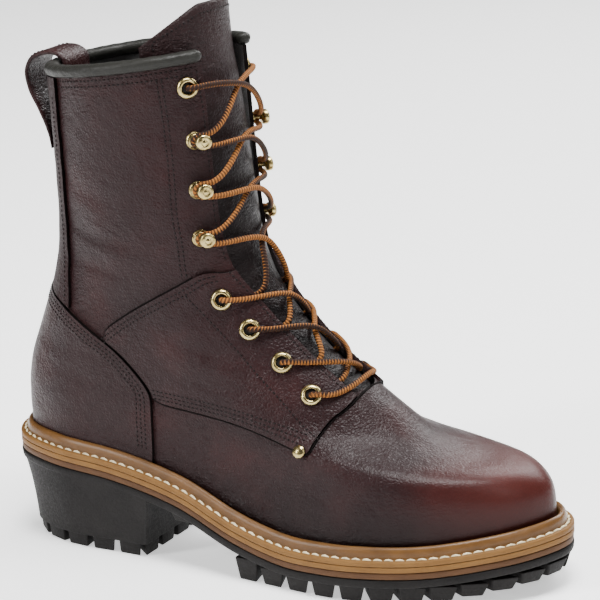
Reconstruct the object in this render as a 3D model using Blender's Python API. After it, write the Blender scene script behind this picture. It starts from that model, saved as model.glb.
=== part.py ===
"""Logger boot, right foot: Blender model in metres, toe along +X, inner side +Y, floor at z = 0."""

import math
from collections import namedtuple

import bmesh
import bpy
import numpy as np

NAME = "logger_boot"

# Sole sizes.
SOLE_LENGTH = 0.310
BALL_WIDTH = 0.108
HEEL_WIDTH = 0.078
HEEL_RISE = 0.046
FOREFOOT_RUBBER = 0.0125
RUBBER_BASE = 0.0045
LUG_DEPTH = 0.0072
TOE_SPRING = 0.0100
SLIP_THICKNESS = 0.0034
MIDSOLE_THICKNESS = 0.0028
WELT_THICKNESS = 0.0028
BEAD_HEIGHT = 0.0056
WELT_SHELF = 0.0036
BEAD_WIDTH = 0.0046
HEEL_BREAST = 0.092
HEEL_UNDERCUT = 0.008
LUG_LENGTH = 0.0140
LUG_PITCH = 0.0152
LUG_REACH = 0.0170
MIDDLE_BLOCK = 0.0120
MIDDLE_PITCH = 0.0250
MIDDLE_GAP = 0.0040

# Upper sizes.
UPPER_WALL = 0.0020
BACK_HEIGHT = 0.196
FRONT_HEIGHT = BACK_HEIGHT + 0.038
COLLAR_WIDTH = 0.089
THROAT_WIDTH = 0.050
PANEL_THICKNESS = 0.0016
COUNTER_THICKNESS = 0.0019
CLEARANCE = 0.0003
WELT_GAP = 0.0007
INSOLE_THICKNESS = 0.004
INSOLE_GAP = 0.0026
TONGUE_THICKNESS = 0.0026
TONGUE_GAP = 0.0010
TONGUE_RISE = 0.027
BINDING_WIDTH = 0.0080
BINDING_HEIGHT = 0.0064
LOOP_WIDTH = 0.024
LOOP_THICKNESS = 0.0024
LOOP_REACH = 0.0145
LOOP_LENGTH = 0.040
LOOP_RISE = 0.0022
LOOP_CLEARANCE = 0.0034

# Fasteners and lace.
EYELET_RADIUS = 0.0055
EYELET_BORE = 0.0026
EYELET_HEIGHT = 0.0014
HOOK_BASE_RADIUS = 0.0046
HOOK_STEM_RADIUS = 0.0015
HOOK_HEAD_RADIUS = 0.0039
HOOK_HEIGHT = 0.0085
HOOK_LEAN = 0.35
RIVET_RADIUS = 0.0034
SEAT = 0.0005
LACE_RADIUS = 0.00145
LACE_ARCH = 0.0030
LACE_STEPS = 7
LACE_SIDES = 5
RING_SPACING = 0.025

Edge = namedtuple("Edge", "x ball heel")
Level = namedtuple("Level", "x heel fore spring")
Ring = namedtuple("Ring", "front_x front_up back_x back_up sole heel middle fore leg heel_end toe_end throat")

# The sole's edge from the back of the heel along the outer side to the tip, then back along the inner side.
# x is a share of the length; y is the sum of the shares of ball width and heel width.
OUTLINE = [
    Edge(0.000, 0.000, 0.000),
    Edge(0.030, 0.000, -0.310),
    Edge(0.120, 0.000, -0.500),
    Edge(0.240, -0.030, -0.490),
    Edge(0.370, -0.400, 0.000),
    Edge(0.530, -0.462, 0.000),
    Edge(0.690, -0.500, 0.000),
    Edge(0.845, -0.385, 0.000),
    Edge(0.955, -0.170, 0.000),
    Edge(1.000, 0.100, 0.000),
    Edge(0.955, 0.345, 0.000),
    Edge(0.845, 0.470, 0.000),
    Edge(0.715, 0.500, 0.000),
    Edge(0.550, 0.390, 0.000),
    Edge(0.390, 0.275, 0.000),
    Edge(0.240, 0.010, 0.440),
    Edge(0.120, 0.000, 0.500),
    Edge(0.030, 0.000, 0.310),
]
# Top of the rubber, heel to toe: shares of the heel rise, the forefoot rubber and the toe spring.
RUBBER_TOP = [
    Level(0.000, 1.000, 0.00, 0.00),
    Level(0.130, 0.970, 0.00, 0.00),
    Level(0.275, 0.857, 0.00, 0.00),
    Level(0.370, 0.640, 0.22, 0.00),
    Level(0.480, 0.230, 0.70, 0.00),
    Level(0.580, 0.010, 0.97, 0.00),
    Level(0.650, 0.000, 1.00, 0.00),
    Level(0.720, 0.000, 1.00, 0.05),
    Level(0.810, 0.000, 1.00, 0.20),
    Level(0.930, 0.000, 1.00, 0.70),
    Level(1.000, 0.000, 1.00, 1.00),
]
# Rings round the upper, foot to collar. x is a share of the sole's length, up of the front or back height,
# sole the share of the sole's own outline, heel, middle and fore half widths of the ball width, leg of the
# collar's width, the two ends how much of the ring's length rounds in, and throat a share of the throat's width.
RINGS = [
    Ring(0.972, 0.000, 0.028, 0.000, 1.00, 0.280, 0.270, 0.420, 0.00, 0.13, 0.30, 0.64),
    Ring(0.972, 0.038, 0.028, 0.045, 1.00, 0.300, 0.290, 0.425, 0.00, 0.13, 0.30, 0.64),
    Ring(0.958, 0.080, 0.026, 0.082, 0.82, 0.318, 0.305, 0.424, 0.00, 0.13, 0.30, 0.64),
    Ring(0.940, 0.108, 0.028, 0.120, 0.62, 0.318, 0.305, 0.418, 0.00, 0.14, 0.31, 0.64),
    Ring(0.908, 0.132, 0.031, 0.158, 0.45, 0.318, 0.305, 0.408, 0.00, 0.14, 0.32, 0.64),
    Ring(0.866, 0.143, 0.036, 0.199, 0.30, 0.315, 0.305, 0.390, 0.00, 0.15, 0.34, 0.64),
    Ring(0.818, 0.153, 0.043, 0.242, 0.18, 0.310, 0.305, 0.354, 0.00, 0.16, 0.37, 0.64),
    Ring(0.752, 0.184, 0.053, 0.287, 0.08, 0.282, 0.278, 0.284, 0.04, 0.19, 0.40, 0.64),
    Ring(0.686, 0.250, 0.063, 0.333, 0.03, 0.250, 0.250, 0.235, 0.08, 0.22, 0.43, 0.64),
    Ring(0.622, 0.323, 0.073, 0.379, 0.00, 0.206, 0.206, 0.185, 0.14, 0.26, 0.45, 0.64),
    Ring(0.566, 0.392, 0.083, 0.425, 0.00, 0.144, 0.144, 0.125, 0.22, 0.31, 0.47, 0.66),
    Ring(0.518, 0.468, 0.093, 0.476, 0.00, 0.081, 0.081, 0.065, 0.31, 0.37, 0.49, 0.76),
    Ring(0.486, 0.541, 0.101, 0.532, 0.00, 0.030, 0.030, 0.020, 0.39, 0.44, 0.50, 0.94),
    Ring(0.468, 0.618, 0.106, 0.603, 0.00, 0.000, 0.000, 0.000, 0.45, 0.48, 0.50, 1.00),
    Ring(0.457, 0.715, 0.108, 0.700, 0.00, 0.000, 0.000, 0.000, 0.47, 0.50, 0.50, 1.00),
    Ring(0.449, 0.824, 0.107, 0.811, 0.00, 0.000, 0.000, 0.000, 0.48, 0.50, 0.50, 1.00),
    Ring(0.443, 0.920, 0.105, 0.915, 0.00, 0.000, 0.000, 0.000, 0.49, 0.50, 0.50, 1.00),
    Ring(0.438, 1.000, 0.103, 1.000, 0.00, 0.000, 0.000, 0.000, 0.495, 0.50, 0.50, 1.00),
]
THROAT_RING = 8.45
COLLAR_RING = len(RINGS) - 1.0


# Lace holes up each flap: ring number, and distance from the ridge as a share of the throat's width.
Hole = namedtuple("Hole", "name ring reach")
HOLES = [
    Hole("eyelet_1", 8.20, 0.800),
    Hole("eyelet_2", 9.15, 0.710),
    Hole("eyelet_3", 10.20, 0.710),
    Hole("eyelet_4", 11.10, 0.760),
    Hole("hook_1", 13.00, 0.730),
    Hole("hook_2", 14.10, 0.690),
    Hole("hook_3", 15.10, 0.660),
    Hole("eyelet_5", 16.35, 0.680),
]
RIVET = Hole("rivet", 5.50, 2.120)
# Half width of the tongue as a share of the throat's width, by ring number.
Width = namedtuple("Width", "ring half")
TONGUE_BEND = 14.0
TONGUE = [
    Width(7.5, 0.42),
    Width(9.0, 0.54),
    Width(11.0, 0.70),
    Width(13.0, 0.80),
    Width(15.6, 0.98),
    Width(17.0, 1.16),
]


# Smooth curves through short tables

def curve(xs, ys, at):
    """A smooth curve through the points (xs, ys), held level past both ends."""
    xs, ys = np.asarray(xs, float), np.asarray(ys, float)
    at = np.clip(np.asarray(at, float), xs[0], xs[-1])
    step = np.diff(xs)
    slope = np.diff(ys) / step
    lean = np.empty(len(ys))
    lean[1:-1] = (slope[:-1] * step[1:] + slope[1:] * step[:-1]) / (step[:-1] + step[1:])
    lean[0] = 1.5 * slope[0] - 0.5 * lean[1]
    lean[-1] = 1.5 * slope[-1] - 0.5 * lean[-2]
    i = np.clip(np.searchsorted(xs, at, side="right") - 1, 0, len(step) - 1)
    t = (at - xs[i]) / step[i]
    ends = (1 + 2 * t) * (1 - t) ** 2 * ys[i] + t * t * (3 - 2 * t) * ys[i + 1]
    return ends + step[i] * (t * (1 - t) ** 2 * lean[i] + t * t * (t - 1) * lean[i + 1])


def closed_curve(knots, per_span):
    """A smooth closed curve through 2-D knots, spaced by the square root of their distances."""
    knots = np.asarray(knots, float)
    n = len(knots)
    span = np.linalg.norm(np.roll(knots, -1, 0) - knots, axis=1) ** 0.5
    points = []
    for i in range(n):
        p0, p1, p2, p3 = knots[i - 1], knots[i], knots[(i + 1) % n], knots[(i + 2) % n]
        d0, d1, d2 = span[i - 1], span[i], span[(i + 1) % n]
        m1 = d1 * ((p2 - p1) / d1 - (p2 - p0) / (d0 + d1) + (p1 - p0) / d0)
        m2 = d1 * ((p3 - p2) / d2 - (p3 - p1) / (d1 + d2) + (p2 - p1) / d1)
        for k in range(per_span):
            t = k / per_span
            ends = (1 + 2 * t) * (1 - t) ** 2 * p1 + t * t * (3 - 2 * t) * p2
            points.append(ends + t * (1 - t) ** 2 * m1 + t * t * (t - 1) * m2)
    return np.array(points)


def column(table, name):
    return [getattr(row, name) for row in table]


def arc_lengths(line):
    return np.concatenate([[0], np.cumsum(np.linalg.norm(np.diff(line, axis=0), axis=1))])


# The sole

def sole_edge(inset=0.0, per_span=16):
    """The sole's edge as (x, y) points, moved inwards by inset."""
    knots = [(e.x * SOLE_LENGTH, e.ball * BALL_WIDTH + e.heel * HEEL_WIDTH) for e in OUTLINE]
    points = closed_curve(knots, per_span)
    along = np.roll(points, -1, 0) - np.roll(points, 1, 0)
    along /= np.linalg.norm(along, axis=1)[:, None]
    return points + inset * np.stack([-along[:, 1], along[:, 0]], 1)


def sole_sides(inset):
    """The outer and the inner side of the sole's edge, each from the heel to the tip."""
    edge = sole_edge(inset)
    start, tip = edge[:, 0].argmin(), edge[:, 0].argmax()
    edge = np.roll(edge, -start, 0)
    tip = (tip - start) % len(edge)
    return edge[:tip + 1], np.vstack([edge[tip:], edge[:1]])[::-1]


def rubber_top(x):
    share = np.asarray(x, float) / SOLE_LENGTH
    xs = column(RUBBER_TOP, "x")
    heel = curve(xs, column(RUBBER_TOP, "heel"), share)
    fore = curve(xs, column(RUBBER_TOP, "fore"), share)
    spring = curve(xs, column(RUBBER_TOP, "spring"), share)
    return heel * HEEL_RISE + fore * FOREFOOT_RUBBER + spring * TOE_SPRING


def slip_base(x):
    return rubber_top(x) + CLEARANCE


def midsole_base(x):
    return slip_base(x) + SLIP_THICKNESS + CLEARANCE


def welt_base(x):
    return midsole_base(x) + MIDSOLE_THICKNESS + CLEARANCE


# The origin of the model: the middle of the sole on the floor. The tables start at the back of the heel.
EDGE_Y = sole_edge()[:, 1]
ORIGIN = np.array([SOLE_LENGTH / 2, (EDGE_Y.min() + EDGE_Y.max()) / 2, 0.0])

FEATHER_INSET = WELT_SHELF + BEAD_WIDTH + WELT_GAP
FEATHER_OUTER, FEATHER_INNER = sole_sides(FEATHER_INSET)
TOE_SWING = FEATHER_OUTER[-1, 1]
SWING_START = 0.40


# The upper's own function

def centre_line(x):
    """y of the boot's ridge, which swings towards the big toe."""
    reach = np.clip(x / SOLE_LENGTH - SWING_START, 0.0, None) / (FEATHER_OUTER[-1, 0] / SOLE_LENGTH - SWING_START)
    return TOE_SWING * reach ** 1.5


def rounded_ends(s, heel_end, toe_end):
    heel = np.clip(1 - s / heel_end, 0, 1)
    toe = np.clip((s - 1 + toe_end) / toe_end, 0, 1)
    return np.sqrt(1 - heel ** 2) * (1 - toe ** 2.1) ** (1 / 2.1)


def ring_line(row, side, count=181):
    """One side of the upper's ring at this row number, from the back to the ridge."""
    at = {name: float(curve(range(len(RINGS)), column(RINGS, name), row)) for name in Ring._fields}
    s = (1 - np.cos(np.linspace(0, math.pi, count))) / 2
    x = SOLE_LENGTH * (at["back_x"] + (at["front_x"] - at["back_x"]) * s)
    feather = FEATHER_OUTER if side < 0 else FEATHER_INNER
    foot_x = feather[0, 0] + (feather[-1, 0] - feather[0, 0]) * s
    foot_y = np.interp(foot_x, feather[:, 0], feather[:, 1])
    foot_half = np.abs(foot_y - centre_line(foot_x))
    widths = [at["heel"], at["heel"], at["middle"], at["fore"], at["fore"]]
    half = BALL_WIDTH * curve([0, 0.2, 0.5, 0.75, 1], widths, s) + COLLAR_WIDTH * at["leg"]
    half = half * rounded_ends(s, at["heel_end"], at["toe_end"])
    y = centre_line(x) + side * (half + (foot_half - half) * at["sole"])
    x = x + (foot_x - x) * at["sole"]
    back_foot, toe_foot = float(welt_base(0.0)), float(welt_base(SOLE_LENGTH))
    sag = welt_base(foot_x) - back_foot - (toe_foot - back_foot) * s
    back_z = back_foot + at["back_up"] * BACK_HEIGHT
    front_z = toe_foot + at["front_up"] * FRONT_HEIGHT
    z = back_z + (front_z - back_z) * s + sag * at["sole"]
    return np.stack([x, y, z], 1)


def along_line(line, places, strip):
    """Points of a line: a share of what lies behind the throat strip or, below 0, a share of the strip."""
    length = arc_lengths(line)
    at = [p * (length[-1] - strip) if p >= 0 else length[-1] + p * strip for p in places]
    return np.stack([np.interp(at, length, line[:, k]) for k in range(3)], 1)


def throat_half(row):
    return THROAT_WIDTH / 2 * float(curve(range(len(RINGS)), column(RINGS, "throat"), row))


def ring_points(row, side, places):
    return along_line(ring_line(row, side), places, throat_half(row))


def upper_grid(rows, places):
    """Points (rows, columns, 3) round the boot: back, outer side, ridge, inner side."""
    grid = []
    for row in rows:
        outer = ring_points(row, -1, places)
        inner = ring_points(row, 1, places)
        grid.append(np.vstack([outer, inner[-2:0:-1]]))
    return np.array(grid)


def grid_normals(grid, closed):
    """Outward normals of a grid whose columns go round the boot from the back by the outer side."""
    if closed:
        along = np.roll(grid, -1, 1) - np.roll(grid, 1, 1)
    else:
        along = np.gradient(grid, axis=1)
    up = np.gradient(grid, axis=0)
    normal = np.cross(along, up)
    return normal / np.maximum(np.linalg.norm(normal, axis=2)[..., None], 1e-12)


# Rows and columns that every piece of leather shares, so that their faces lie parallel.
ROWS = [0, 1, 2, 3, 4, 5, 6, 7, 7.75, THROAT_RING, 9.2, 10, 10.8, 11.6, 12.4, 13.2, 14.3, 15.6, COLLAR_RING]
SIDE_COLUMNS = 18
SIDE_PLACES = list(np.linspace(0, 1, SIDE_COLUMNS))
STRIP_PLACES = [-0.5, -1e-7]
THROAT_COLUMN = SIDE_COLUMNS - 1
RIDGE_COLUMN = SIDE_COLUMNS + 1


# Solids

def clear_scene():
    for obj in list(bpy.data.objects):
        bpy.data.objects.remove(obj)


def material(name, colour, roughness, metallic=0.0):
    made = bpy.data.materials.new(name)
    made.use_nodes = True
    shader = made.node_tree.nodes["Principled BSDF"]
    shader.inputs["Base Color"].default_value = (*colour, 1.0)
    shader.inputs["Roughness"].default_value = roughness
    shader.inputs["Metallic"].default_value = metallic
    return made


def solid(name, points, faces, collection, looks):
    """A closed mesh object from points and faces, unused points dropped, with its faces turned outwards."""
    used = sorted({i for face in faces for i in face})
    place = {old: new for new, old in enumerate(used)}
    mesh = bpy.data.meshes.new(name)
    mesh.from_pydata([tuple(points[i] - ORIGIN) for i in used], [], [[place[i] for i in face] for face in faces])
    shape = bmesh.new()
    shape.from_mesh(mesh)
    bmesh.ops.remove_doubles(shape, verts=shape.verts, dist=1e-6)
    bmesh.ops.recalc_face_normals(shape, faces=shape.faces)
    bmesh.ops.triangulate(shape, faces=shape.faces)
    shape.to_mesh(mesh)
    shape.free()
    obj = bpy.data.objects.new(name, mesh)
    mesh.materials.append(looks)
    collection.objects.link(obj)
    return obj


def sheet(outer, inner, keep, wraps):
    """Points and faces of a wall between two grids. keep tells which cells of the grid are there."""
    rows, columns = outer.shape[:2]
    points = np.concatenate([outer.reshape(-1, 3), inner.reshape(-1, 3)])
    under = rows * columns
    faces, edges = [], {}
    for i in range(rows - 1):
        for j in range(columns if wraps else columns - 1):
            if not keep(i, j):
                continue
            k = (j + 1) % columns
            cell = [i * columns + j, i * columns + k, (i + 1) * columns + k, (i + 1) * columns + j]
            faces.append(cell)
            faces.append([under + c for c in reversed(cell)])
            for a, b in zip(cell, cell[1:] + cell[:1]):
                if edges.pop((b, a), None) is None:
                    edges[(a, b)] = True
    faces += [[b, a, under + a, under + b] for a, b in edges]
    return points, faces


def loft(rings):
    """Points and faces of a closed body through rings of equal length, with flat ends."""
    count = len(rings[0])
    points = np.concatenate(rings)
    faces = [list(range(count))[::-1], list(range(len(points) - count, len(points)))]
    for k in range(len(rings) - 1):
        for j in range(count):
            a, b = k * count + j, k * count + (j + 1) % count
            faces.append([a, b, b + count, a + count])
    return points, faces


def tube(path, radius, sides):
    """Points and faces of a round tube along a path."""
    path = np.asarray(path, float)
    tangent = np.gradient(path, axis=0)
    tangent /= np.linalg.norm(tangent, axis=1)[:, None]
    across = np.cross(tangent[0], [0.0, 0.0, 1.0])
    if np.linalg.norm(across) < 0.2:
        across = np.cross(tangent[0], [0.0, 1.0, 0.0])
    rings = []
    for point, along in zip(path, tangent):
        across = across - along * (across @ along)
        across /= np.linalg.norm(across)
        other = np.cross(along, across)
        turn = np.arange(sides) * 2 * math.pi / sides
        rings.append(point + radius * (np.outer(np.cos(turn), across) + np.outer(np.sin(turn), other)))
    return loft(rings)


def apply_boolean(obj, operation, cutter):
    modifier = obj.modifiers.new("cut", "BOOLEAN")
    modifier.operation = operation
    modifier.solver = "EXACT"
    modifier.object = cutter


def prism(name, outline, axis, low, high, collection):
    """A cutter: an outline of two coordinates, extruded along the third axis."""
    rings = []
    for level in (low, high):
        ring = np.insert(np.asarray(outline, float), axis, level, axis=1)
        rings.append(ring)
    points, faces = loft(rings)
    cutter = solid(name, points, faces, collection, bpy.data.materials["cutter"])
    cutter.hide_render = True
    cutter.display_type = "WIRE"
    return cutter


# Sole pieces

def stations(inset, count):
    outer, inner = sole_sides(inset)
    share = (1 - np.cos(np.linspace(0, math.pi, count))) / 2
    x = outer[0, 0] + (outer[-1, 0] - outer[0, 0]) * share
    return x, np.interp(x, outer[:, 0], outer[:, 1]), np.interp(x, inner[:, 0], inner[:, 1])


def slab(name, inset, bottom, top, count, collection, looks):
    """A layer of the sole: the sole's outline moved in by inset, between two heights that follow x."""
    x, outer, inner = stations(inset, count)
    across = np.stack([outer, inner], 1)
    upper = np.stack([np.stack([x, x], 1), across, np.stack([top(x)] * 2, 1)], 2)
    lower = np.stack([np.stack([x, x], 1), across, np.stack([bottom(x)] * 2, 1)], 2)
    points, faces = sheet(upper, lower, lambda i, j: True, False)
    return solid(name, points, faces, collection, looks)


def storm_welt(collection, looks):
    """The stitched flat edge and the bead that stands against the foot of the upper."""
    inner = FEATHER_INSET - WELT_GAP
    bead = BEAD_WIDTH
    profile = [(0.0, 0.0), (0.0, WELT_THICKNESS), (WELT_SHELF, WELT_THICKNESS)]
    for turn in (0.2, 0.6):
        profile.append((inner - bead / 2 - bead / 2 * math.cos(turn * math.pi),
                        WELT_THICKNESS + BEAD_HEIGHT * math.sin(turn * math.pi) ** 0.7))
    profile.append((inner, 0.0))
    grid = []
    for inset, height in profile:
        edge = sole_edge(inset, 4)
        base = welt_base(sole_edge(0, 4)[:, 0])
        grid.append(np.column_stack([edge, base + height]))
    grid = np.array(grid)
    count, around = grid.shape[:2]
    points = grid.reshape(-1, 3)
    faces = []
    for i in range(count):
        for j in range(around):
            a, b = i * around + j, i * around + (j + 1) % around
            c, d = ((i + 1) % count) * around + (j + 1) % around, ((i + 1) % count) * around + j
            faces.append([a, b, c, d])
    return solid("storm_welt", points, faces, collection, looks)


def rubber_base(x):
    return rubber_top(x) - RUBBER_BASE


def ground(x):
    """Underside of the forefoot lugs, which lifts at the toe."""
    share = curve(column(RUBBER_TOP, "x"), column(RUBBER_TOP, "spring"), np.asarray(x) / SOLE_LENGTH)
    return TOE_SPRING * np.maximum(share, 0.0)


def lug(outer, inner, bottom, top, taper):
    """A block between two edge points and two inner points, narrower underneath."""
    corners = np.array([outer[0], outer[1], inner[1], inner[0]])
    centre = corners.mean(0)
    low = centre + (corners - centre) * (1 - taper)
    rings = [np.column_stack([low, [bottom] * 4]), np.column_stack([corners, [top] * 4])]
    return loft(rings)


def forefoot_line(inset):
    """The sole's edge from the start of the forefoot lugs on the outer side, round the tip, to the inner side."""
    outer, inner = sole_sides(inset)
    start = FOREFOOT_START * SOLE_LENGTH
    return np.vstack([outer[outer[:, 0] > start], inner[inner[:, 0] > start][-2::-1]])


def edge_lugs(line, deep):
    """Corner points of the lugs along a line of the sole's edge and a line further in."""
    length, deep_length = arc_lengths(line), arc_lengths(deep)
    count = int(length[-1] / LUG_PITCH)
    found = []
    for k in range(count):
        middle = (k + 0.5) * length[-1] / count
        ends = np.array([middle - LUG_LENGTH / 2, middle + LUG_LENGTH / 2])
        outer = np.stack([np.interp(ends, length, line[:, c]) for c in (0, 1)], 1)
        narrower = middle + (ends - middle) * 0.9
        shares = narrower / length[-1] * deep_length[-1]
        inner = np.stack([np.interp(shares, deep_length, deep[:, c]) for c in (0, 1)], 1)
        found.append((outer, inner))
    return found


def joined(blocks):
    """Several bodies as one list of points and faces."""
    points, faces, start = [], [], 0
    for block_points, block_faces in blocks:
        points.append(block_points)
        faces += [[i + start for i in face] for face in block_faces]
        start += len(block_points)
    return np.concatenate(points), faces


FOREFOOT_START = 0.47
LUG_TAPER = 0.26
WAIST_LUG = (0.352, 0.390)
WAIST_LUG_DEPTH = 0.0018
LUG_INSET = 0.0008
SINK = 0.0006


def waist_lug():
    """The one small lug under the waist, on the outer side, with its top inside the sloping rubber."""
    ends = np.array(WAIST_LUG) * SOLE_LENGTH
    outer = np.column_stack([ends, np.interp(ends, *sole_sides(WAIST_LUG_DEPTH)[0].T)])
    inner = np.column_stack([ends, np.interp(ends, *sole_sides(LUG_REACH)[0].T)])
    base = float(rubber_base(ends[1]))
    return lug(outer, inner, base - WAIST_LUG_DEPTH, base + RUBBER_BASE - SINK, LUG_TAPER)


def outsole(collection, cutters, looks):
    plate = slab("outsole", 0.0, rubber_base, rubber_top, 30, collection, looks)
    blocks = []
    for outer, inner in edge_lugs(forefoot_line(LUG_INSET), forefoot_line(LUG_INSET + LUG_REACH)):
        low = float(np.min(ground(outer[:, 0])))
        high = float(np.min(rubber_base(np.append(outer[:, 0], inner[:, 0])))) + SINK
        blocks.append(lug(outer, inner, low, high, LUG_TAPER))
    blocks.append(waist_lug())
    inner_line = forefoot_line(LUG_INSET + LUG_REACH + MIDDLE_GAP)
    tip = inner_line[:, 0].argmax()
    outer_side, inner_side = inner_line[:tip + 1], inner_line[tip:][::-1]
    half_block = MIDDLE_BLOCK / 2
    for x in np.arange(inner_line[0, 0] + MIDDLE_BLOCK, inner_line[tip, 0] - MIDDLE_BLOCK, MIDDLE_PITCH):
        ends = np.array([x - half_block, x + half_block])
        left = np.max(np.interp(ends, *outer_side.T))
        right = np.min(np.interp(ends, *inner_side.T))
        middle = (left + right) / 2
        for low_y, high_y in ((left, middle - MIDDLE_GAP / 2), (middle + MIDDLE_GAP / 2, right)):
            outer = np.column_stack([ends, [low_y] * 2])
            inner = np.column_stack([ends, [high_y] * 2])
            low = float(ground(ends[0])) + CLEARANCE
            high = float(np.min(rubber_base(ends))) + SINK
            blocks.append(lug(outer, inner, low, high, 0.15))
    lugs = solid("outsole_lugs", *joined(blocks), cutters, bpy.data.materials["cutter"])
    lugs.hide_render = True
    lugs.display_type = "WIRE"
    apply_boolean(plate, "UNION", lugs)
    return plate


def heel_ring(depth, count=10):
    """The heel block's outline at a share of its depth: it runs in towards the floor, more at the back."""
    tuck = HEEL_UNDERCUT * depth ** 0.8 * (1.45 - 0.45 * depth)
    outer, inner = sole_sides(HEEL_UNDERCUT * 0.45 * depth)
    start = outer[0, 0]
    breast = HEEL_BREAST + 0.004 * (1 - depth)
    share = (1 - np.cos(np.linspace(0, math.pi / 2, count)))
    x = start + (breast - start) * share
    left = np.interp(x, outer[:, 0], outer[:, 1])
    right = np.interp(x, inner[:, 0], inner[:, 1])
    back = x + (tuck - start) * (1 - (x - start) / (breast - start))
    ring = np.vstack([np.column_stack([back, left]), np.column_stack([back, right])[:0:-1]])
    return ring


def heel(collection, cutters, looks):
    rings = []
    for depth in (0.0, 0.4, 1.0):
        ring = heel_ring(depth)
        top = rubber_base(ring[:, 0]) - CLEARANCE
        rings.append(np.column_stack([ring, top + (LUG_DEPTH - top) * depth]))
    block = solid("heel", *loft(rings), collection, looks)
    ring = heel_ring(1.0, 25)
    length = arc_lengths(ring)
    middle = np.array([HEEL_BREAST * 0.55, 0.0])
    blocks = []
    count = int(length[-1] / (LUG_PITCH * 1.08))
    for k in range(count):
        at = (k + 0.5) * length[-1] / count
        ends = [at - LUG_LENGTH / 2, at + LUG_LENGTH / 2]
        outer = np.array([[np.interp(t, length, ring[:, c]) for c in (0, 1)] for t in ends])
        inner = outer + (middle - outer) * 0.42
        outer = outer + (middle - outer) * 0.015
        blocks.append(lug(outer, inner, 0.0, LUG_DEPTH + SINK, 0.10))
    lugs = solid("heel_lugs", *joined(blocks), cutters, bpy.data.materials["cutter"])
    lugs.hide_render = True
    lugs.display_type = "WIRE"
    apply_boolean(block, "UNION", lugs)
    return block


# Upper pieces

def upper(grid, normals, collection, looks):
    first = ROWS.index(THROAT_RING)
    columns = grid.shape[1]

    def keep(i, j):
        return i < first or not THROAT_COLUMN <= j < columns - THROAT_COLUMN

    points, faces = sheet(grid, grid - normals * UPPER_WALL, keep, True)
    return solid("upper", points, faces, collection, looks)


def foot_outline(table):
    """Side-view outline from shares: x of the sole's length, up of the back height above the welt."""
    return [(x * SOLE_LENGTH, float(welt_base(x * SOLE_LENGTH)) + up * BACK_HEIGHT) for x, up in table]


QUARTER_EDGE = [
    (0.219, 0.352), (0.280, 0.436), (0.343, 0.517), (0.384, 0.573), (0.408, 0.612), (0.428, 0.632),
    (0.450, 0.640), (0.480, 0.680), (0.620, 0.560), (0.668, 0.420), (0.655, 0.372), (0.644, 0.352),
    (0.632, 0.338), (0.618, 0.300), (0.612, 0.262), (0.600, 0.262), (0.540, 0.276), (0.476, 0.272),
    (0.405, 0.242), (0.319, 0.212), (0.313, 0.243), (0.294, 0.276), (0.259, 0.319),
]
COUNTER_EDGE = [
    (-0.10, 0.480), (0.060, 0.442), (0.110, 0.420), (0.160, 0.392), (0.213, 0.350), (0.253, 0.316),
    (0.288, 0.273), (0.307, 0.240), (0.312, 0.210), (0.312, 0.150), (0.312, 0.0),
]


def band(name, grid, normals, rows, columns, low, high, collection, looks):
    """A panel over the upper: part of its grid, between two heights above its surface."""
    part_grid = grid[np.ix_(rows, columns)]
    part_normals = normals[np.ix_(rows, columns)]
    points, faces = sheet(part_grid + part_normals * high, part_grid + part_normals * low,
                          lambda i, j: True, False)
    return solid(name, points, faces, collection, looks)


def quarters(grid, normals, collection, cutters, looks):
    outline = foot_outline(QUARTER_EDGE)
    count = grid.shape[1]
    lateral = list(range(3, THROAT_COLUMN + 1))
    medial = [count - j for j in reversed(lateral)]
    rows = list(range(3, len(ROWS) - 3))
    sides = (("quarter_lateral", lateral, -BALL_WIDTH, 0.0), ("quarter_medial", medial, 0.0, BALL_WIDTH))
    for name, columns, low, high in sides:
        panel = band(name, grid, normals, rows, columns, CLEARANCE, CLEARANCE + PANEL_THICKNESS,
                     collection, looks)
        cutter = prism(name + "_cut", outline, 1, low, high, cutters)
        apply_boolean(panel, "INTERSECT", cutter)


def heel_counter(grid, normals, collection, cutters, looks):
    count = grid.shape[1]
    columns = [(j + count) % count for j in range(-10, 11)]
    panel = band("heel_counter", grid, normals, list(range(1, 13)), columns, CLEARANCE,
                 CLEARANCE + COUNTER_THICKNESS, collection, looks)
    top = foot_outline(COUNTER_EDGE[:-1])
    base = WELT_THICKNESS + BEAD_HEIGHT + CLEARANCE
    xs = np.linspace(COUNTER_EDGE[-1][0], COUNTER_EDGE[0][0], 9) * SOLE_LENGTH
    bottom = [(x, float(welt_base(x)) + base) for x in xs]
    cutter = prism("counter_cut", top + bottom, 1, -BALL_WIDTH, BALL_WIDTH, cutters)
    apply_boolean(panel, "INTERSECT", cutter)


# The backstay as shares: its front edge, the gap above the counter, and the counter's height at that edge.
BACKSTAY_SHARE = 0.157
TOP_GAP_SHARE = 0.004
MEETING_SHARE = 0.398


def backstay(grid, normals, collection, cutters, looks):
    count = grid.shape[1]
    columns = [(j + count) % count for j in range(-6, 7)]
    rows = list(range(9, len(ROWS)))
    panel = band("backstay", grid, normals, rows, columns, CLEARANCE, CLEARANCE + PANEL_THICKNESS,
                 collection, looks)
    low = [(x, up + TOP_GAP_SHARE) for x, up in COUNTER_EDGE if x < BACKSTAY_SHARE]
    above = FRONT_HEIGHT / BACK_HEIGHT
    top = [(BACKSTAY_SHARE, MEETING_SHARE + TOP_GAP_SHARE), (BACKSTAY_SHARE, above), (COUNTER_EDGE[0][0], above)]
    cutter = prism("backstay_cut", foot_outline(low + top), 1, -BALL_WIDTH, BALL_WIDTH, cutters)
    apply_boolean(panel, "INTERSECT", cutter)


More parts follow.
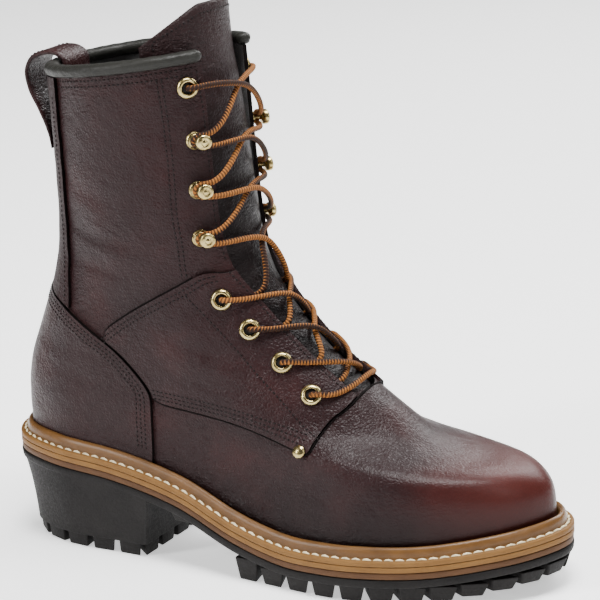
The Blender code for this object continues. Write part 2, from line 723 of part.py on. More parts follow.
def collar_binding(grid, normals, collection, looks):
    """A padded roll on the upper's top edge, from one side of the throat round the back to the other."""
    count = grid.shape[1]
    order = [(j + count) % count for j in range(-THROAT_COLUMN, THROAT_COLUMN + 1)]
    half, height = BINDING_WIDTH / 2, BINDING_HEIGHT
    section = [(-0.8, 0.06), (0.8, 0.06), (1.0, 0.38), (0.68, 0.85), (0.0, 1.0), (-0.68, 0.85), (-1.0, 0.38)]
    rings = []
    for j in order:
        up = grid[-1, j] - grid[-2, j]
        up /= np.linalg.norm(up)
        middle = grid[-1, j] - normals[-1, j] * UPPER_WALL / 2
        rings.append(np.array([middle + normals[-1, j] * a * half + up * b * height for a, b in section]))
    return solid("collar_binding", *loft(rings), collection, looks)


def pull_loop(grid, collection, looks):
    """A strap from the backstay, out and over the binding, and down inside the collar."""
    back = grid[-1, 0]
    over = BINDING_HEIGHT + LOOP_THICKNESS / 2 + LOOP_RISE
    inside = BINDING_WIDTH / 2 + LOOP_THICKNESS / 2 + LOOP_CLEARANCE
    out = CLEARANCE * 2 + PANEL_THICKNESS + LOOP_THICKNESS / 2 + 0.0002
    path = [
        (-out, -LOOP_LENGTH), (-out - 0.06 * LOOP_REACH, -0.8 * LOOP_LENGTH),
        (-0.62 * LOOP_REACH, -0.5 * LOOP_LENGTH), (-0.95 * LOOP_REACH, -0.22 * LOOP_LENGTH),
        (-LOOP_REACH, 0.02 * LOOP_LENGTH), (-0.75 * LOOP_REACH, 0.72 * over), (-0.30 * LOOP_REACH, over),
        (0.45 * inside, over), (0.92 * inside, 0.76 * over), (1.05 * inside, 0.0), (inside, -0.25 * LOOP_LENGTH),
    ]
    path = np.array(path) + back[[0, 2]]
    along = np.gradient(path, axis=0)
    along /= np.linalg.norm(along, axis=1)[:, None]
    outward = np.stack([-along[:, 1], along[:, 0]], 1) * LOOP_THICKNESS / 2
    rings = []
    for point, shift in zip(path, outward):
        ring = []
        for side, sign in ((-1, 1), (1, 1), (1, -1), (-1, -1)):
            x, z = point + shift * sign
            ring.append((x, side * LOOP_WIDTH / 2, z))
        rings.append(np.array(ring))
    return solid("pull_loop", *loft(rings), collection, looks)


def spot(ring, reach):
    """A point on the upper: ring number, and distance from the ridge, below 0 on the outer side."""
    line = ring_line(ring, -1 if reach < 0 else 1)
    length = arc_lengths(line)
    return np.array([np.interp(length[-1] - abs(reach), length, line[:, k]) for k in range(3)])


def spot_frame(ring, reach):
    """The point, its outward normal and the direction up the flap."""
    step, turn = 0.002, 0.1
    low, high = max(ring - turn, 0.0), min(ring + turn, COLLAR_RING)
    up = spot(high, reach) - spot(low, reach)
    normal = np.cross(spot(ring, reach + step) - spot(ring, reach - step), up)
    return spot(ring, reach), normal / np.linalg.norm(normal), up / np.linalg.norm(up)


def tongue(collection, looks):
    """The tongue lies inside the throat and stands above the collar, lower at its sides."""
    rings = [7.6] + [row for row in ROWS if row >= THROAT_RING]
    shares = np.array([-1.0, -0.8, -0.56, -0.3, 0.0, 0.3, 0.56, 0.8, 1.0])
    outer, inner = [], []
    for ring in rings:
        half = THROAT_WIDTH * float(curve(column(TONGUE, "ring"), column(TONGUE, "half"), ring))
        frames = [spot_frame(ring, share * half + 1e-6) for share in shares]
        behind_binding = max(0.0, (ring - TONGUE_BEND) / (COLLAR_RING - TONGUE_BEND)) ** 1.5
        depth = UPPER_WALL + TONGUE_GAP + behind_binding * BINDING_WIDTH / 2
        outer.append([p - n * depth for p, n, _ in frames])
        inner.append([p - n * (depth + TONGUE_THICKNESS) for p, n, _ in frames])
    rise = TONGUE_RISE * (1 - 0.60 * np.clip((np.abs(shares) - 0.3) / 0.7, 0, 1) ** 1.2)
    up = np.array([frame[2] for frame in frames])
    for level in (0.5, 1.0):
        lift = up * (rise * level)[:, None]
        outer.append(np.array(outer[len(rings) - 1]) + lift)
        inner.append(np.array(inner[len(rings) - 1]) + lift)
    points, faces = sheet(np.array(outer), np.array(inner), lambda i, j: True, False)
    return solid("tongue", points, faces, collection, looks)


# Fasteners

def lathe(profile, segments, through):
    """Points and faces of a turned body about +Z. through leaves a bore, otherwise both ends lie on the axis."""
    rings = []
    for radius, height in profile:
        turn = np.arange(segments) * 2 * math.pi / segments
        rings.append(np.column_stack([radius * np.cos(turn), radius * np.sin(turn), np.full(segments, height)]))
    if not through:
        return loft(rings)
    points = np.concatenate(rings)
    faces = []
    for k in range(len(rings)):
        for j in range(segments):
            a, b = k * segments + j, k * segments + (j + 1) % segments
            c, d = ((k + 1) % len(rings)) * segments + (j + 1) % segments, ((k + 1) % len(rings)) * segments + j
            faces.append([a, b, c, d])
    return points, faces


def seated(name, shape, ring, reach, height, collection, looks, lean=0.0):
    """A turned body set on the boot's surface, at a height above it, which may lean sideways as it rises."""
    point, normal, up = spot_frame(ring, reach)
    points, faces = shape
    points = points + np.outer(points[:, 2] * lean, [1.0, 0.0, 0.0])
    across = np.cross(up, normal)
    across /= np.linalg.norm(across)
    up = np.cross(normal, across)
    points = point + normal * height + points @ np.array([across, up, normal])
    return solid(name, points, faces, collection, looks)


def fastener_height(name):
    """Height of a fastener's seat above the upper: eyelets 1 to 4 and the rivet stand on the quarter."""
    on_quarter = name in ("eyelet_1", "eyelet_2", "eyelet_3", "eyelet_4", "rivet")
    return SEAT + (CLEARANCE + PANEL_THICKNESS if on_quarter else 0.0)


EYELET_PROFILE = [(EYELET_BORE, 0.0), (EYELET_RADIUS, 0.0), (0.84 * EYELET_RADIUS, 0.8 * EYELET_HEIGHT),
                  (0.64 * EYELET_RADIUS, EYELET_HEIGHT)]
HOOK_PROFILE = [
    (0.4 * HOOK_BASE_RADIUS, 0.0), (HOOK_BASE_RADIUS, 0.0), (0.9 * HOOK_BASE_RADIUS, 0.0009),
    (HOOK_STEM_RADIUS, 0.0011), (HOOK_STEM_RADIUS, HOOK_HEIGHT - 0.0035), (HOOK_HEAD_RADIUS, HOOK_HEIGHT - 0.0029),
    (0.96 * HOOK_HEAD_RADIUS, HOOK_HEIGHT - 0.0007), (0.6 * HOOK_HEAD_RADIUS, HOOK_HEIGHT),
]
RIVET_PROFILE = [(0.5 * RIVET_RADIUS, 0.0), (RIVET_RADIUS, 0.0), (0.9 * RIVET_RADIUS, 0.0009),
                 (0.5 * RIVET_RADIUS, 0.0016)]


def fasteners(collection, looks):
    for hole in HOLES + [RIVET]:
        if hole.name.startswith("eyelet"):
            shape = lathe(EYELET_PROFILE, 10, True)
        else:
            shape = lathe(HOOK_PROFILE if hole.name.startswith("hook") else RIVET_PROFILE, 8, False)
        lean = HOOK_LEAN if hole.name.startswith("hook") else 0.0
        for side, sign in (("lateral", -1), ("medial", 1)):
            seated(f"{hole.name}_{side}", shape, hole.ring, sign * hole.reach * THROAT_WIDTH,
                   fastener_height(hole.name), collection, looks, -sign * lean)


# Lace

def strand(start, end, over):
    """A path over the throat between two ends, each (ring, reach, height), arched by over in the middle."""
    path = []
    for t in np.linspace(0, 1, LACE_STEPS):
        ring, reach, height = (a + (b - a) * t for a, b in zip(start, end))
        point, normal, _ = spot_frame(ring, reach + 1e-6)
        path.append(point + normal * (height + over * math.sin(math.pi * t)))
    return path


def lace_end(hole, sign, upper_end):
    """Where a crossing ends at this hole: on the eyelet or at the side of the hook's stem."""
    reach = hole.reach * THROAT_WIDTH
    if hole.name.startswith("hook"):
        base = fastener_height(hole.name) + 0.0011 + CLEARANCE + LACE_RADIUS
        aside = HOOK_STEM_RADIUS + LACE_RADIUS + CLEARANCE
        turn = aside / RING_SPACING
        return hole.ring + (-turn if upper_end else turn), sign * (reach - 0.5 * aside), base
    top = fastener_height(hole.name) + EYELET_HEIGHT + CLEARANCE * 2 + LACE_RADIUS
    if upper_end:
        return hole.ring, sign * (reach - 0.3 * EYELET_RADIUS), top
    ring = max(hole.ring, THROAT_RING + 0.35)
    return ring, sign * (throat_half(ring) - LACE_RADIUS - 0.0012), -0.2 * LACE_RADIUS


def lace(collection, cutters, looks):
    """The bar across the lowest eyelets, then one solid for each crossing up to the top pair."""
    first = HOLES[0]
    left, right = lace_end(first, -1, True), lace_end(first, 1, True)
    solid("lace_bar", *tube(strand(left, right, LACE_ARCH), LACE_RADIUS, LACE_SIDES), collection, looks)
    for number, (low, high) in enumerate(zip(HOLES, HOLES[1:]), 1):
        paths = []
        for sign in (-1, 1):
            start = lace_end(low, sign, False)
            end = lace_end(high, -sign, True)
            paths.append(strand(start, end, LACE_ARCH))
        one = solid(f"lace_cross_{number}", *tube(paths[0], LACE_RADIUS, LACE_SIDES), collection, looks)
        other = solid(f"lace_other_{number}", *tube(paths[1], LACE_RADIUS, LACE_SIDES), cutters, looks)
        other.hide_render = True
        other.display_type = "WIRE"
        apply_boolean(one, "UNION", other)


def main():
    clear_scene()
    collection = bpy.data.collections.new(NAME)
    cutters = bpy.data.collections.new("cutters")
    for made in (collection, cutters):
        bpy.context.scene.collection.children.link(made)
    material("cutter", (0.5, 0.5, 0.5), 0.5)
    leather = material("leather", (0.055, 0.028, 0.025), 0.45)
    rubber = material("rubber", (0.015, 0.014, 0.014), 0.6)
    tan = material("tan_leather", (0.32, 0.17, 0.07), 0.6)
    brown = material("slip_leather", (0.16, 0.075, 0.04), 0.6)
    padded = material("padded_leather", (0.05, 0.05, 0.042), 0.5)
    brass = material("brass", (0.55, 0.46, 0.22), 0.3, 1.0)
    cord = material("lace", (0.45, 0.22, 0.07), 0.8)
    board = material("insole_board", (0.30, 0.22, 0.15), 0.8)
    grid = upper_grid(ROWS, SIDE_PLACES + STRIP_PLACES)
    normals = grid_normals(grid, True)
    outsole(collection, cutters, rubber)
    heel(collection, cutters, rubber)
    slab("slip_sole", 0.0, slip_base, lambda x: slip_base(x) + SLIP_THICKNESS, 30, collection, brown)
    slab("midsole", 0.0, midsole_base, lambda x: midsole_base(x) + MIDSOLE_THICKNESS, 30, collection, tan)
    storm_welt(collection, tan)
    slab("insole", FEATHER_INSET + UPPER_WALL + INSOLE_GAP, lambda x: welt_base(x) + SEAT,
         lambda x: welt_base(x) + SEAT + INSOLE_THICKNESS, 30, collection, board)
    upper(grid, normals, collection, leather)
    quarters(grid, normals, collection, cutters, leather)
    heel_counter(grid, normals, collection, cutters, leather)
    backstay(grid, normals, collection, cutters, leather)
    collar_binding(grid, normals, collection, padded)
    pull_loop(grid, collection, leather)
    tongue(collection, leather)
    fasteners(collection, brass)
    lace(collection, cutters, cord)


main()
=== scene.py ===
"""Logger boot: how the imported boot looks. Toe along +X, inner side +Y, floor at z = 0, metres."""

import math
import random
from collections import namedtuple

import bmesh
import bpy
import numpy as np
from mathutils import Matrix, Vector
from mathutils.kdtree import KDTree


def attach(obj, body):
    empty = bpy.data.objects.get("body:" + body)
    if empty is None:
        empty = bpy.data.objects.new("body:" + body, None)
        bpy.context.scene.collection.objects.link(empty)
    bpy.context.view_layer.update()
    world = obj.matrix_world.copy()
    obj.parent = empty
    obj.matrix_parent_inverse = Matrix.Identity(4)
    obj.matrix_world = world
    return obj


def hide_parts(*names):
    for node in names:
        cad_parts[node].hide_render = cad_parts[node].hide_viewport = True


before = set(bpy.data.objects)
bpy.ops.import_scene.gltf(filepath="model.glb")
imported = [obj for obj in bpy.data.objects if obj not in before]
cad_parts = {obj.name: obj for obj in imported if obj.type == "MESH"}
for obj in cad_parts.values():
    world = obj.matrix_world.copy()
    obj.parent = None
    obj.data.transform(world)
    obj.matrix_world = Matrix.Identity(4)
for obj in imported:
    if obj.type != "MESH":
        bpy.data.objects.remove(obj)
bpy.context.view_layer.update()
random.seed(7)

# The part's own sizes, in metres.
# Sole sizes.
SOLE_LENGTH = 0.310
BALL_WIDTH = 0.108
HEEL_WIDTH = 0.078
HEEL_RISE = 0.046
FOREFOOT_RUBBER = 0.0125
RUBBER_BASE = 0.0045
LUG_DEPTH = 0.0072
TOE_SPRING = 0.0100
SLIP_THICKNESS = 0.0034
MIDSOLE_THICKNESS = 0.0028
WELT_THICKNESS = 0.0028
BEAD_HEIGHT = 0.0056
WELT_SHELF = 0.0036
BEAD_WIDTH = 0.0046
HEEL_BREAST = 0.092
HEEL_UNDERCUT = 0.008
LUG_LENGTH = 0.0140
LUG_PITCH = 0.0152
LUG_REACH = 0.0170
MIDDLE_BLOCK = 0.0120
MIDDLE_PITCH = 0.0250
MIDDLE_GAP = 0.0040

# Upper sizes.
UPPER_WALL = 0.0020
BACK_HEIGHT = 0.196
FRONT_HEIGHT = BACK_HEIGHT + 0.038
COLLAR_WIDTH = 0.089
THROAT_WIDTH = 0.050
PANEL_THICKNESS = 0.0016
COUNTER_THICKNESS = 0.0019
CLEARANCE = 0.0003
WELT_GAP = 0.0007
TONGUE_THICKNESS = 0.0026
TONGUE_GAP = 0.0010
TONGUE_RISE = 0.027
BINDING_WIDTH = 0.0080
BINDING_HEIGHT = 0.0064
LOOP_WIDTH = 0.024
LOOP_THICKNESS = 0.0024
LOOP_REACH = 0.0145
LOOP_LENGTH = 0.040
LOOP_RISE = 0.0022
LOOP_CLEARANCE = 0.0034

# Fasteners and lace.
EYELET_RADIUS = 0.0055
EYELET_HEIGHT = 0.0014
HOOK_BASE_RADIUS = 0.0046
HOOK_STEM_RADIUS = 0.0015
HOOK_HEAD_RADIUS = 0.0039
HOOK_HEIGHT = 0.0085
HOOK_LEAN = 0.35
RIVET_RADIUS = 0.0034
SEAT = 0.0005
LACE_RADIUS = 0.00145
RING_SPACING = 0.025

Edge = namedtuple("Edge", "x ball heel")
Level = namedtuple("Level", "x heel fore spring")
Ring = namedtuple("Ring", "front_x front_up back_x back_up sole heel middle fore leg heel_end toe_end throat")

# The sole's edge from the back of the heel along the outer side to the tip, then back along the inner side.
# x is a share of the length; y is the sum of the shares of ball width and heel width.
OUTLINE = [Edge(*row) for row in (
    (0, 0, 0), (0.03, 0, -0.31), (0.12, 0, -0.5), (0.24, -0.03, -0.49), (0.37, -0.4, 0), (0.53, -0.462, 0),
    (0.69, -0.5, 0), (0.845, -0.385, 0), (0.955, -0.17, 0), (1, 0.1, 0), (0.955, 0.345, 0),
    (0.845, 0.47, 0), (0.715, 0.5, 0), (0.55, 0.39, 0), (0.39, 0.275, 0), (0.24, 0.01, 0.44),
    (0.12, 0, 0.5), (0.03, 0, 0.31),
)]
# Top of the rubber, heel to toe: shares of the heel rise, the forefoot rubber and the toe spring.
RUBBER_TOP = [Level(*row) for row in (
    (0, 1, 0, 0), (0.13, 0.97, 0, 0), (0.275, 0.857, 0, 0), (0.37, 0.64, 0.22, 0), (0.48, 0.23, 0.7, 0),
    (0.58, 0.01, 0.97, 0), (0.65, 0, 1, 0), (0.72, 0, 1, 0.05), (0.81, 0, 1, 0.2), (0.93, 0, 1, 0.7),
    (1, 0, 1, 1),
)]
# Rings round the upper, foot to collar. x is a share of the sole's length, up of the front or back height,
# sole the share of the sole's own outline, heel, middle and fore half widths of the ball width, leg of the
# collar's width, the two ends how much of the ring's length rounds in, and throat a share of the throat's width.
RINGS = [Ring(*row) for row in (
    (0.972, 0, 0.028, 0, 1, 0.28, 0.27, 0.42, 0, 0.13, 0.3, 0.64),
    (0.972, 0.038, 0.028, 0.045, 1, 0.3, 0.29, 0.425, 0, 0.13, 0.3, 0.64),
    (0.958, 0.08, 0.026, 0.082, 0.82, 0.318, 0.305, 0.424, 0, 0.13, 0.3, 0.64),
    (0.94, 0.108, 0.028, 0.12, 0.62, 0.318, 0.305, 0.418, 0, 0.14, 0.31, 0.64),
    (0.908, 0.132, 0.031, 0.158, 0.45, 0.318, 0.305, 0.408, 0, 0.14, 0.32, 0.64),
    (0.866, 0.143, 0.036, 0.199, 0.3, 0.315, 0.305, 0.39, 0, 0.15, 0.34, 0.64),
    (0.818, 0.153, 0.043, 0.242, 0.18, 0.31, 0.305, 0.354, 0, 0.16, 0.37, 0.64),
    (0.752, 0.184, 0.053, 0.287, 0.08, 0.282, 0.278, 0.284, 0.04, 0.19, 0.4, 0.64),
    (0.686, 0.25, 0.063, 0.333, 0.03, 0.25, 0.25, 0.235, 0.08, 0.22, 0.43, 0.64),
    (0.622, 0.323, 0.073, 0.379, 0, 0.206, 0.206, 0.185, 0.14, 0.26, 0.45, 0.64),
    (0.566, 0.392, 0.083, 0.425, 0, 0.144, 0.144, 0.125, 0.22, 0.31, 0.47, 0.66),
    (0.518, 0.468, 0.093, 0.476, 0, 0.081, 0.081, 0.065, 0.31, 0.37, 0.49, 0.76),
    (0.486, 0.541, 0.101, 0.532, 0, 0.03, 0.03, 0.02, 0.39, 0.44, 0.5, 0.94),
    (0.468, 0.618, 0.106, 0.603, 0, 0, 0, 0, 0.45, 0.48, 0.5, 1),
    (0.457, 0.715, 0.108, 0.7, 0, 0, 0, 0, 0.47, 0.5, 0.5, 1),
    (0.449, 0.824, 0.107, 0.811, 0, 0, 0, 0, 0.48, 0.5, 0.5, 1),
    (0.443, 0.92, 0.105, 0.915, 0, 0, 0, 0, 0.49, 0.5, 0.5, 1),
    (0.438, 1, 0.103, 1, 0, 0, 0, 0, 0.495, 0.5, 0.5, 1),
)]
THROAT_RING = 8.45
COLLAR_RING = len(RINGS) - 1.0

# Lace holes up each flap: ring number, and distance from the ridge as a share of the throat's width.
Hole = namedtuple("Hole", "name ring reach")
HOLES = [Hole(*row) for row in (
    ('eyelet_1', 8.2, 0.8), ('eyelet_2', 9.15, 0.71), ('eyelet_3', 10.2, 0.71), ('eyelet_4', 11.1, 0.76),
    ('hook_1', 13, 0.73), ('hook_2', 14.1, 0.69), ('hook_3', 15.1, 0.66), ('eyelet_5', 16.35, 0.68),
)]
RIVET = Hole("rivet", 5.50, 2.120)
# Half width of the tongue as a share of the throat's width, by ring number.
Width = namedtuple("Width", "ring half")
TONGUE_BEND = 14.0
TONGUE = [
    Width(7.5, 0.42),
    Width(9.0, 0.54),
    Width(11.0, 0.70),
    Width(13.0, 0.80),
    Width(15.6, 0.98),
    Width(17.0, 1.16),
]


# Smooth curves through short tables

def curve(xs, ys, at):
    """A smooth curve through the points (xs, ys), held level past both ends."""
    xs, ys = np.asarray(xs, float), np.asarray(ys, float)
    at = np.clip(np.asarray(at, float), xs[0], xs[-1])
    step = np.diff(xs)
    slope = np.diff(ys) / step
    lean = np.empty(len(ys))
    lean[1:-1] = (slope[:-1] * step[1:] + slope[1:] * step[:-1]) / (step[:-1] + step[1:])
    lean[0] = 1.5 * slope[0] - 0.5 * lean[1]
    lean[-1] = 1.5 * slope[-1] - 0.5 * lean[-2]
    i = np.clip(np.searchsorted(xs, at, side="right") - 1, 0, len(step) - 1)
    t = (at - xs[i]) / step[i]
    ends = (1 + 2 * t) * (1 - t) ** 2 * ys[i] + t * t * (3 - 2 * t) * ys[i + 1]
    return ends + step[i] * (t * (1 - t) ** 2 * lean[i] + t * t * (t - 1) * lean[i + 1])


def closed_curve(knots, per_span):
    """A smooth closed curve through 2-D knots, spaced by the square root of their distances."""
    knots = np.asarray(knots, float)
    n = len(knots)
    span = np.linalg.norm(np.roll(knots, -1, 0) - knots, axis=1) ** 0.5
    points = []
    for i in range(n):
        p0, p1, p2, p3 = knots[i - 1], knots[i], knots[(i + 1) % n], knots[(i + 2) % n]
        d0, d1, d2 = span[i - 1], span[i], span[(i + 1) % n]
        m1 = d1 * ((p2 - p1) / d1 - (p2 - p0) / (d0 + d1) + (p1 - p0) / d0)
        m2 = d1 * ((p3 - p2) / d2 - (p3 - p1) / (d1 + d2) + (p2 - p1) / d1)
        for k in range(per_span):
            t = k / per_span
            ends = (1 + 2 * t) * (1 - t) ** 2 * p1 + t * t * (3 - 2 * t) * p2
            points.append(ends + t * (1 - t) ** 2 * m1 + t * t * (t - 1) * m2)
    return np.array(points)


def column(table, name):
    return [getattr(row, name) for row in table]


def arc_lengths(line):
    return np.concatenate([[0], np.cumsum(np.linalg.norm(np.diff(line, axis=0), axis=1))])

def at_lengths(line, at):
    """Points of a line at distances along it."""
    length = arc_lengths(line)
    return np.stack([np.interp(at, length, values) for values in line.T], -1)


# The sole

def sole_edge(inset=0.0, per_span=16):
    """The sole's edge as (x, y) points, moved inwards by inset."""
    knots = [(e.x * SOLE_LENGTH, e.ball * BALL_WIDTH + e.heel * HEEL_WIDTH) for e in OUTLINE]
    points = closed_curve(knots, per_span)
    along = np.roll(points, -1, 0) - np.roll(points, 1, 0)
    along /= np.linalg.norm(along, axis=1)[:, None]
    return points + inset * np.stack([-along[:, 1], along[:, 0]], 1)


def sole_sides(inset):
    """The outer and the inner side of the sole's edge, each from the heel to the tip."""
    edge = sole_edge(inset)
    start, tip = edge[:, 0].argmin(), edge[:, 0].argmax()
    edge = np.roll(edge, -start, 0)
    tip = (tip - start) % len(edge)
    return edge[:tip + 1], np.vstack([edge[tip:], edge[:1]])[::-1]


def rubber_top(x):
    share = np.asarray(x, float) / SOLE_LENGTH
    xs = column(RUBBER_TOP, "x")
    heel = curve(xs, column(RUBBER_TOP, "heel"), share)
    fore = curve(xs, column(RUBBER_TOP, "fore"), share)
    spring = curve(xs, column(RUBBER_TOP, "spring"), share)
    return heel * HEEL_RISE + fore * FOREFOOT_RUBBER + spring * TOE_SPRING


def slip_base(x):
    return rubber_top(x) + CLEARANCE


def midsole_base(x):
    return slip_base(x) + SLIP_THICKNESS + CLEARANCE


def welt_base(x):
    return midsole_base(x) + MIDSOLE_THICKNESS + CLEARANCE


# The origin of the model: the middle of the sole on the floor. The tables start at the back of the heel.
EDGE_Y = sole_edge()[:, 1]
ORIGIN = np.array([SOLE_LENGTH / 2, (EDGE_Y.min() + EDGE_Y.max()) / 2, 0.0])

FEATHER_INSET = WELT_SHELF + BEAD_WIDTH + WELT_GAP
FEATHER_OUTER, FEATHER_INNER = sole_sides(FEATHER_INSET)
TOE_SWING = FEATHER_OUTER[-1, 1]
SWING_START = 0.40


# The upper's own function

def centre_line(x):
    """y of the boot's ridge, which swings towards the big toe."""
    reach = np.clip(x / SOLE_LENGTH - SWING_START, 0.0, None) / (FEATHER_OUTER[-1, 0] / SOLE_LENGTH - SWING_START)
    return TOE_SWING * reach ** 1.5


def rounded_ends(s, heel_end, toe_end):
    heel = np.clip(1 - s / heel_end, 0, 1)
    toe = np.clip((s - 1 + toe_end) / toe_end, 0, 1)
    return np.sqrt(1 - heel ** 2) * (1 - toe ** 2.1) ** (1 / 2.1)


def ring_line(row, side, count=181):
    """One side of the upper's ring at this row number, from the back to the ridge."""
    at = {name: float(curve(range(len(RINGS)), column(RINGS, name), row)) for name in Ring._fields}
    s = (1 - np.cos(np.linspace(0, math.pi, count))) / 2
    x = SOLE_LENGTH * (at["back_x"] + (at["front_x"] - at["back_x"]) * s)
    feather = FEATHER_OUTER if side < 0 else FEATHER_INNER
    foot_x = feather[0, 0] + (feather[-1, 0] - feather[0, 0]) * s
    foot_y = np.interp(foot_x, feather[:, 0], feather[:, 1])
    foot_half = np.abs(foot_y - centre_line(foot_x))
    widths = [at["heel"], at["heel"], at["middle"], at["fore"], at["fore"]]
    half = BALL_WIDTH * curve([0, 0.2, 0.5, 0.75, 1], widths, s) + COLLAR_WIDTH * at["leg"]
    half = half * rounded_ends(s, at["heel_end"], at["toe_end"])
    y = centre_line(x) + side * (half + (foot_half - half) * at["sole"])
    x = x + (foot_x - x) * at["sole"]
    back_foot, toe_foot = float(welt_base(0.0)), float(welt_base(SOLE_LENGTH))
    sag = welt_base(foot_x) - back_foot - (toe_foot - back_foot) * s
    back_z = back_foot + at["back_up"] * BACK_HEIGHT
    front_z = toe_foot + at["front_up"] * FRONT_HEIGHT
    z = back_z + (front_z - back_z) * s + sag * at["sole"]
    return np.stack([x, y, z], 1)


def along_line(line, places, strip):
    """Points of a line: a share of what lies behind the throat strip or, below 0, a share of the strip."""
    length = arc_lengths(line)[-1]
    return at_lengths(line, [p * (length - strip) if p >= 0 else length + p * strip for p in places])


def throat_half(row):
    return THROAT_WIDTH / 2 * float(curve(range(len(RINGS)), column(RINGS, "throat"), row))


def ring_points(row, side, places):
    return along_line(ring_line(row, side), places, throat_half(row))


def upper_grid(rows, places):
    """Points (rows, columns, 3) round the boot: back, outer side, ridge, inner side."""
    grid = []
    for row in rows:
        outer = ring_points(row, -1, places)
        inner = ring_points(row, 1, places)
        grid.append(np.vstack([outer, inner[-2:0:-1]]))
    return np.array(grid)


def grid_normals(grid, closed):
    """Outward normals of a grid whose columns go round the boot from the back by the outer side."""
    if closed:
        along = np.roll(grid, -1, 1) - np.roll(grid, 1, 1)
    else:
        along = np.gradient(grid, axis=1)
    up = np.gradient(grid, axis=0)
    normal = np.cross(along, up)
    return normal / np.maximum(np.linalg.norm(normal, axis=2)[..., None], 1e-12)


# The boot's surface as a fine grid, with its creases

FINE_ROWS = list(np.linspace(0, THROAT_RING, 70)) + list(np.linspace(THROAT_RING, COLLAR_RING, 76)[1:])
SIDE_STEPS = 118
STRIP_STEPS = 10
FINE_PLACES = list(np.linspace(0, 1, SIDE_STEPS)) + list(-np.linspace(1, 0, STRIP_STEPS + 1)[1:])
FINE_PLACES[-1] = -1e-7
THROAT_ROW = 69
THROAT_COLUMN = SIDE_STEPS - 1
TOE_START, TOE_END = 0.236, 0.285


def fine_grid():
    grid = upper_grid(FINE_ROWS, FINE_PLACES)
    normals = grid_normals(grid, True)
    return grid + normals * relief(grid)[..., None]


def fold_at(points, start, end, width, height):
    """A soft fold along a line: a trough with a ridge below it."""
    a, b = np.array(start), np.array(end)
    along = b - a
    t = np.clip(((points - a) @ along) / (along @ along), 0, 1)
    near = a + t[..., None] * along
    away = np.linalg.norm(points - near, axis=-1)
    below = (points - near)[..., 2]
    fade = np.exp(-(away / width) ** 2) * np.sin(math.pi * np.clip(t, 0.02, 0.98)) ** 0.5
    return height * fade * (-1.0 + 1.6 * np.clip(-below / width, 0, 1))


# Soft folds where the leather creases: start, end, width and height in metres, in the part's own sizes.
FOLDS = [
    ((0.030, -0.034, 0.176), (0.104, -0.040, 0.164), 0.0050, 0.0010),
    ((0.034, -0.034, 0.158), (0.092, -0.038, 0.150), 0.0045, 0.0008),
    ((0.036, -0.038, 0.196), (0.086, -0.043, 0.190), 0.0060, 0.0007),
    ((0.030, 0.034, 0.174), (0.104, 0.040, 0.162), 0.0050, 0.0010),
    ((0.034, 0.034, 0.157), (0.092, 0.038, 0.149), 0.0045, 0.0008),
    ((0.212, -0.034, 0.066), (0.226, 0.030, 0.073), 0.0055, 0.0006),
    ((0.226, -0.030, 0.063), (0.238, 0.026, 0.068), 0.0050, 0.0004),
    ((0.110, -0.038, 0.118), (0.160, -0.034, 0.108), 0.0060, 0.0006),
    ((0.112, -0.037, 0.100), (0.172, -0.037, 0.092), 0.0050, 0.0005),
]


def relief(points):
    x, y, z = points[..., 0], points[..., 1], points[..., 2]
    total = np.zeros(x.shape)
    for start, end, width, height in FOLDS:
        total += fold_at(points, start, end, width, height)
    wave = np.sin(x * 190 + 3.1 * np.sin(z * 60)) * np.sin(z * 230 + 2.3 * np.sin(x * 70)) * np.sin(y * 90 + 1)
    soft = np.clip((z - 0.075) / 0.03, 0, 1) * np.clip((0.26 - z) / 0.03, 0, 1)
    return total + 0.00022 * wave * soft


GRID = fine_grid()
NORMALS = grid_normals(GRID, True)
COLUMNS = GRID.shape[1]


def side_tree(side):
    """Search tree of one side of the boot in side view, y left out."""
    columns = list(range(THROAT_COLUMN + STRIP_STEPS + 1)) if side < 0 else [
        (COLUMNS - j) % COLUMNS for j in range(THROAT_COLUMN + STRIP_STEPS + 1)]
    tree = KDTree(len(columns) * len(FINE_ROWS))
    where = []
    for j in columns:
        for i in range(len(FINE_ROWS)):
            p = GRID[i, j]
            tree.insert((p[0], 0.0, p[2]), len(where))
            where.append((i, j))
    tree.balance()
    return tree, where


TREES = {-1: side_tree(-1), 1: side_tree(1)}


def side_point(x, z, side):
    """The surface point and normal at (x, z) of the side view."""
    tree, where = TREES[side]
    i, j = where[tree.find((x, 0.0, z))[1]]
    point, normal = GRID[i, j], NORMALS[i, j]
    along = GRID[i, (j + 1) % COLUMNS] - GRID[i, j - 1]
    rise = GRID[min(i + 1, len(FINE_ROWS) - 1), j] - GRID[max(i - 1, 0), j]
    matrix = np.array([[along[0], rise[0]], [along[2], rise[2]]])
    if abs(np.linalg.det(matrix)) > 1e-9:
        a, b = np.linalg.solve(matrix, [x - point[0], z - point[2]])
        point = point + np.clip(a, -1, 1) * along + np.clip(b, -1, 1) * rise
    return point, normal


# Meshes

TINY = 1e-6


def mesh_object(name, points, faces, looks, face_slots=None):
    """A smooth piece with the looks named; points are in the part's own frame."""
    mesh = bpy.data.meshes.new(name)
    mesh.from_pydata((np.asarray(points) - ORIGIN).tolist(), [], faces)
    for look in looks.split():
        mesh.materials.append(LOOKS[look])
    if face_slots is not None:
        mesh.polygons.foreach_set("material_index", face_slots)
    smooth(mesh)
    obj = bpy.data.objects.new(name, mesh)
    bpy.context.scene.collection.objects.link(obj)
    return obj


def smooth(mesh, sharp=0):
    """Smooth faces, with edges left sharp past an angle in degrees."""
    mesh.polygons.foreach_set("use_smooth", [True] * len(mesh.polygons))
    if sharp:
        mesh.set_sharp_from_angle(angle=math.radians(sharp))


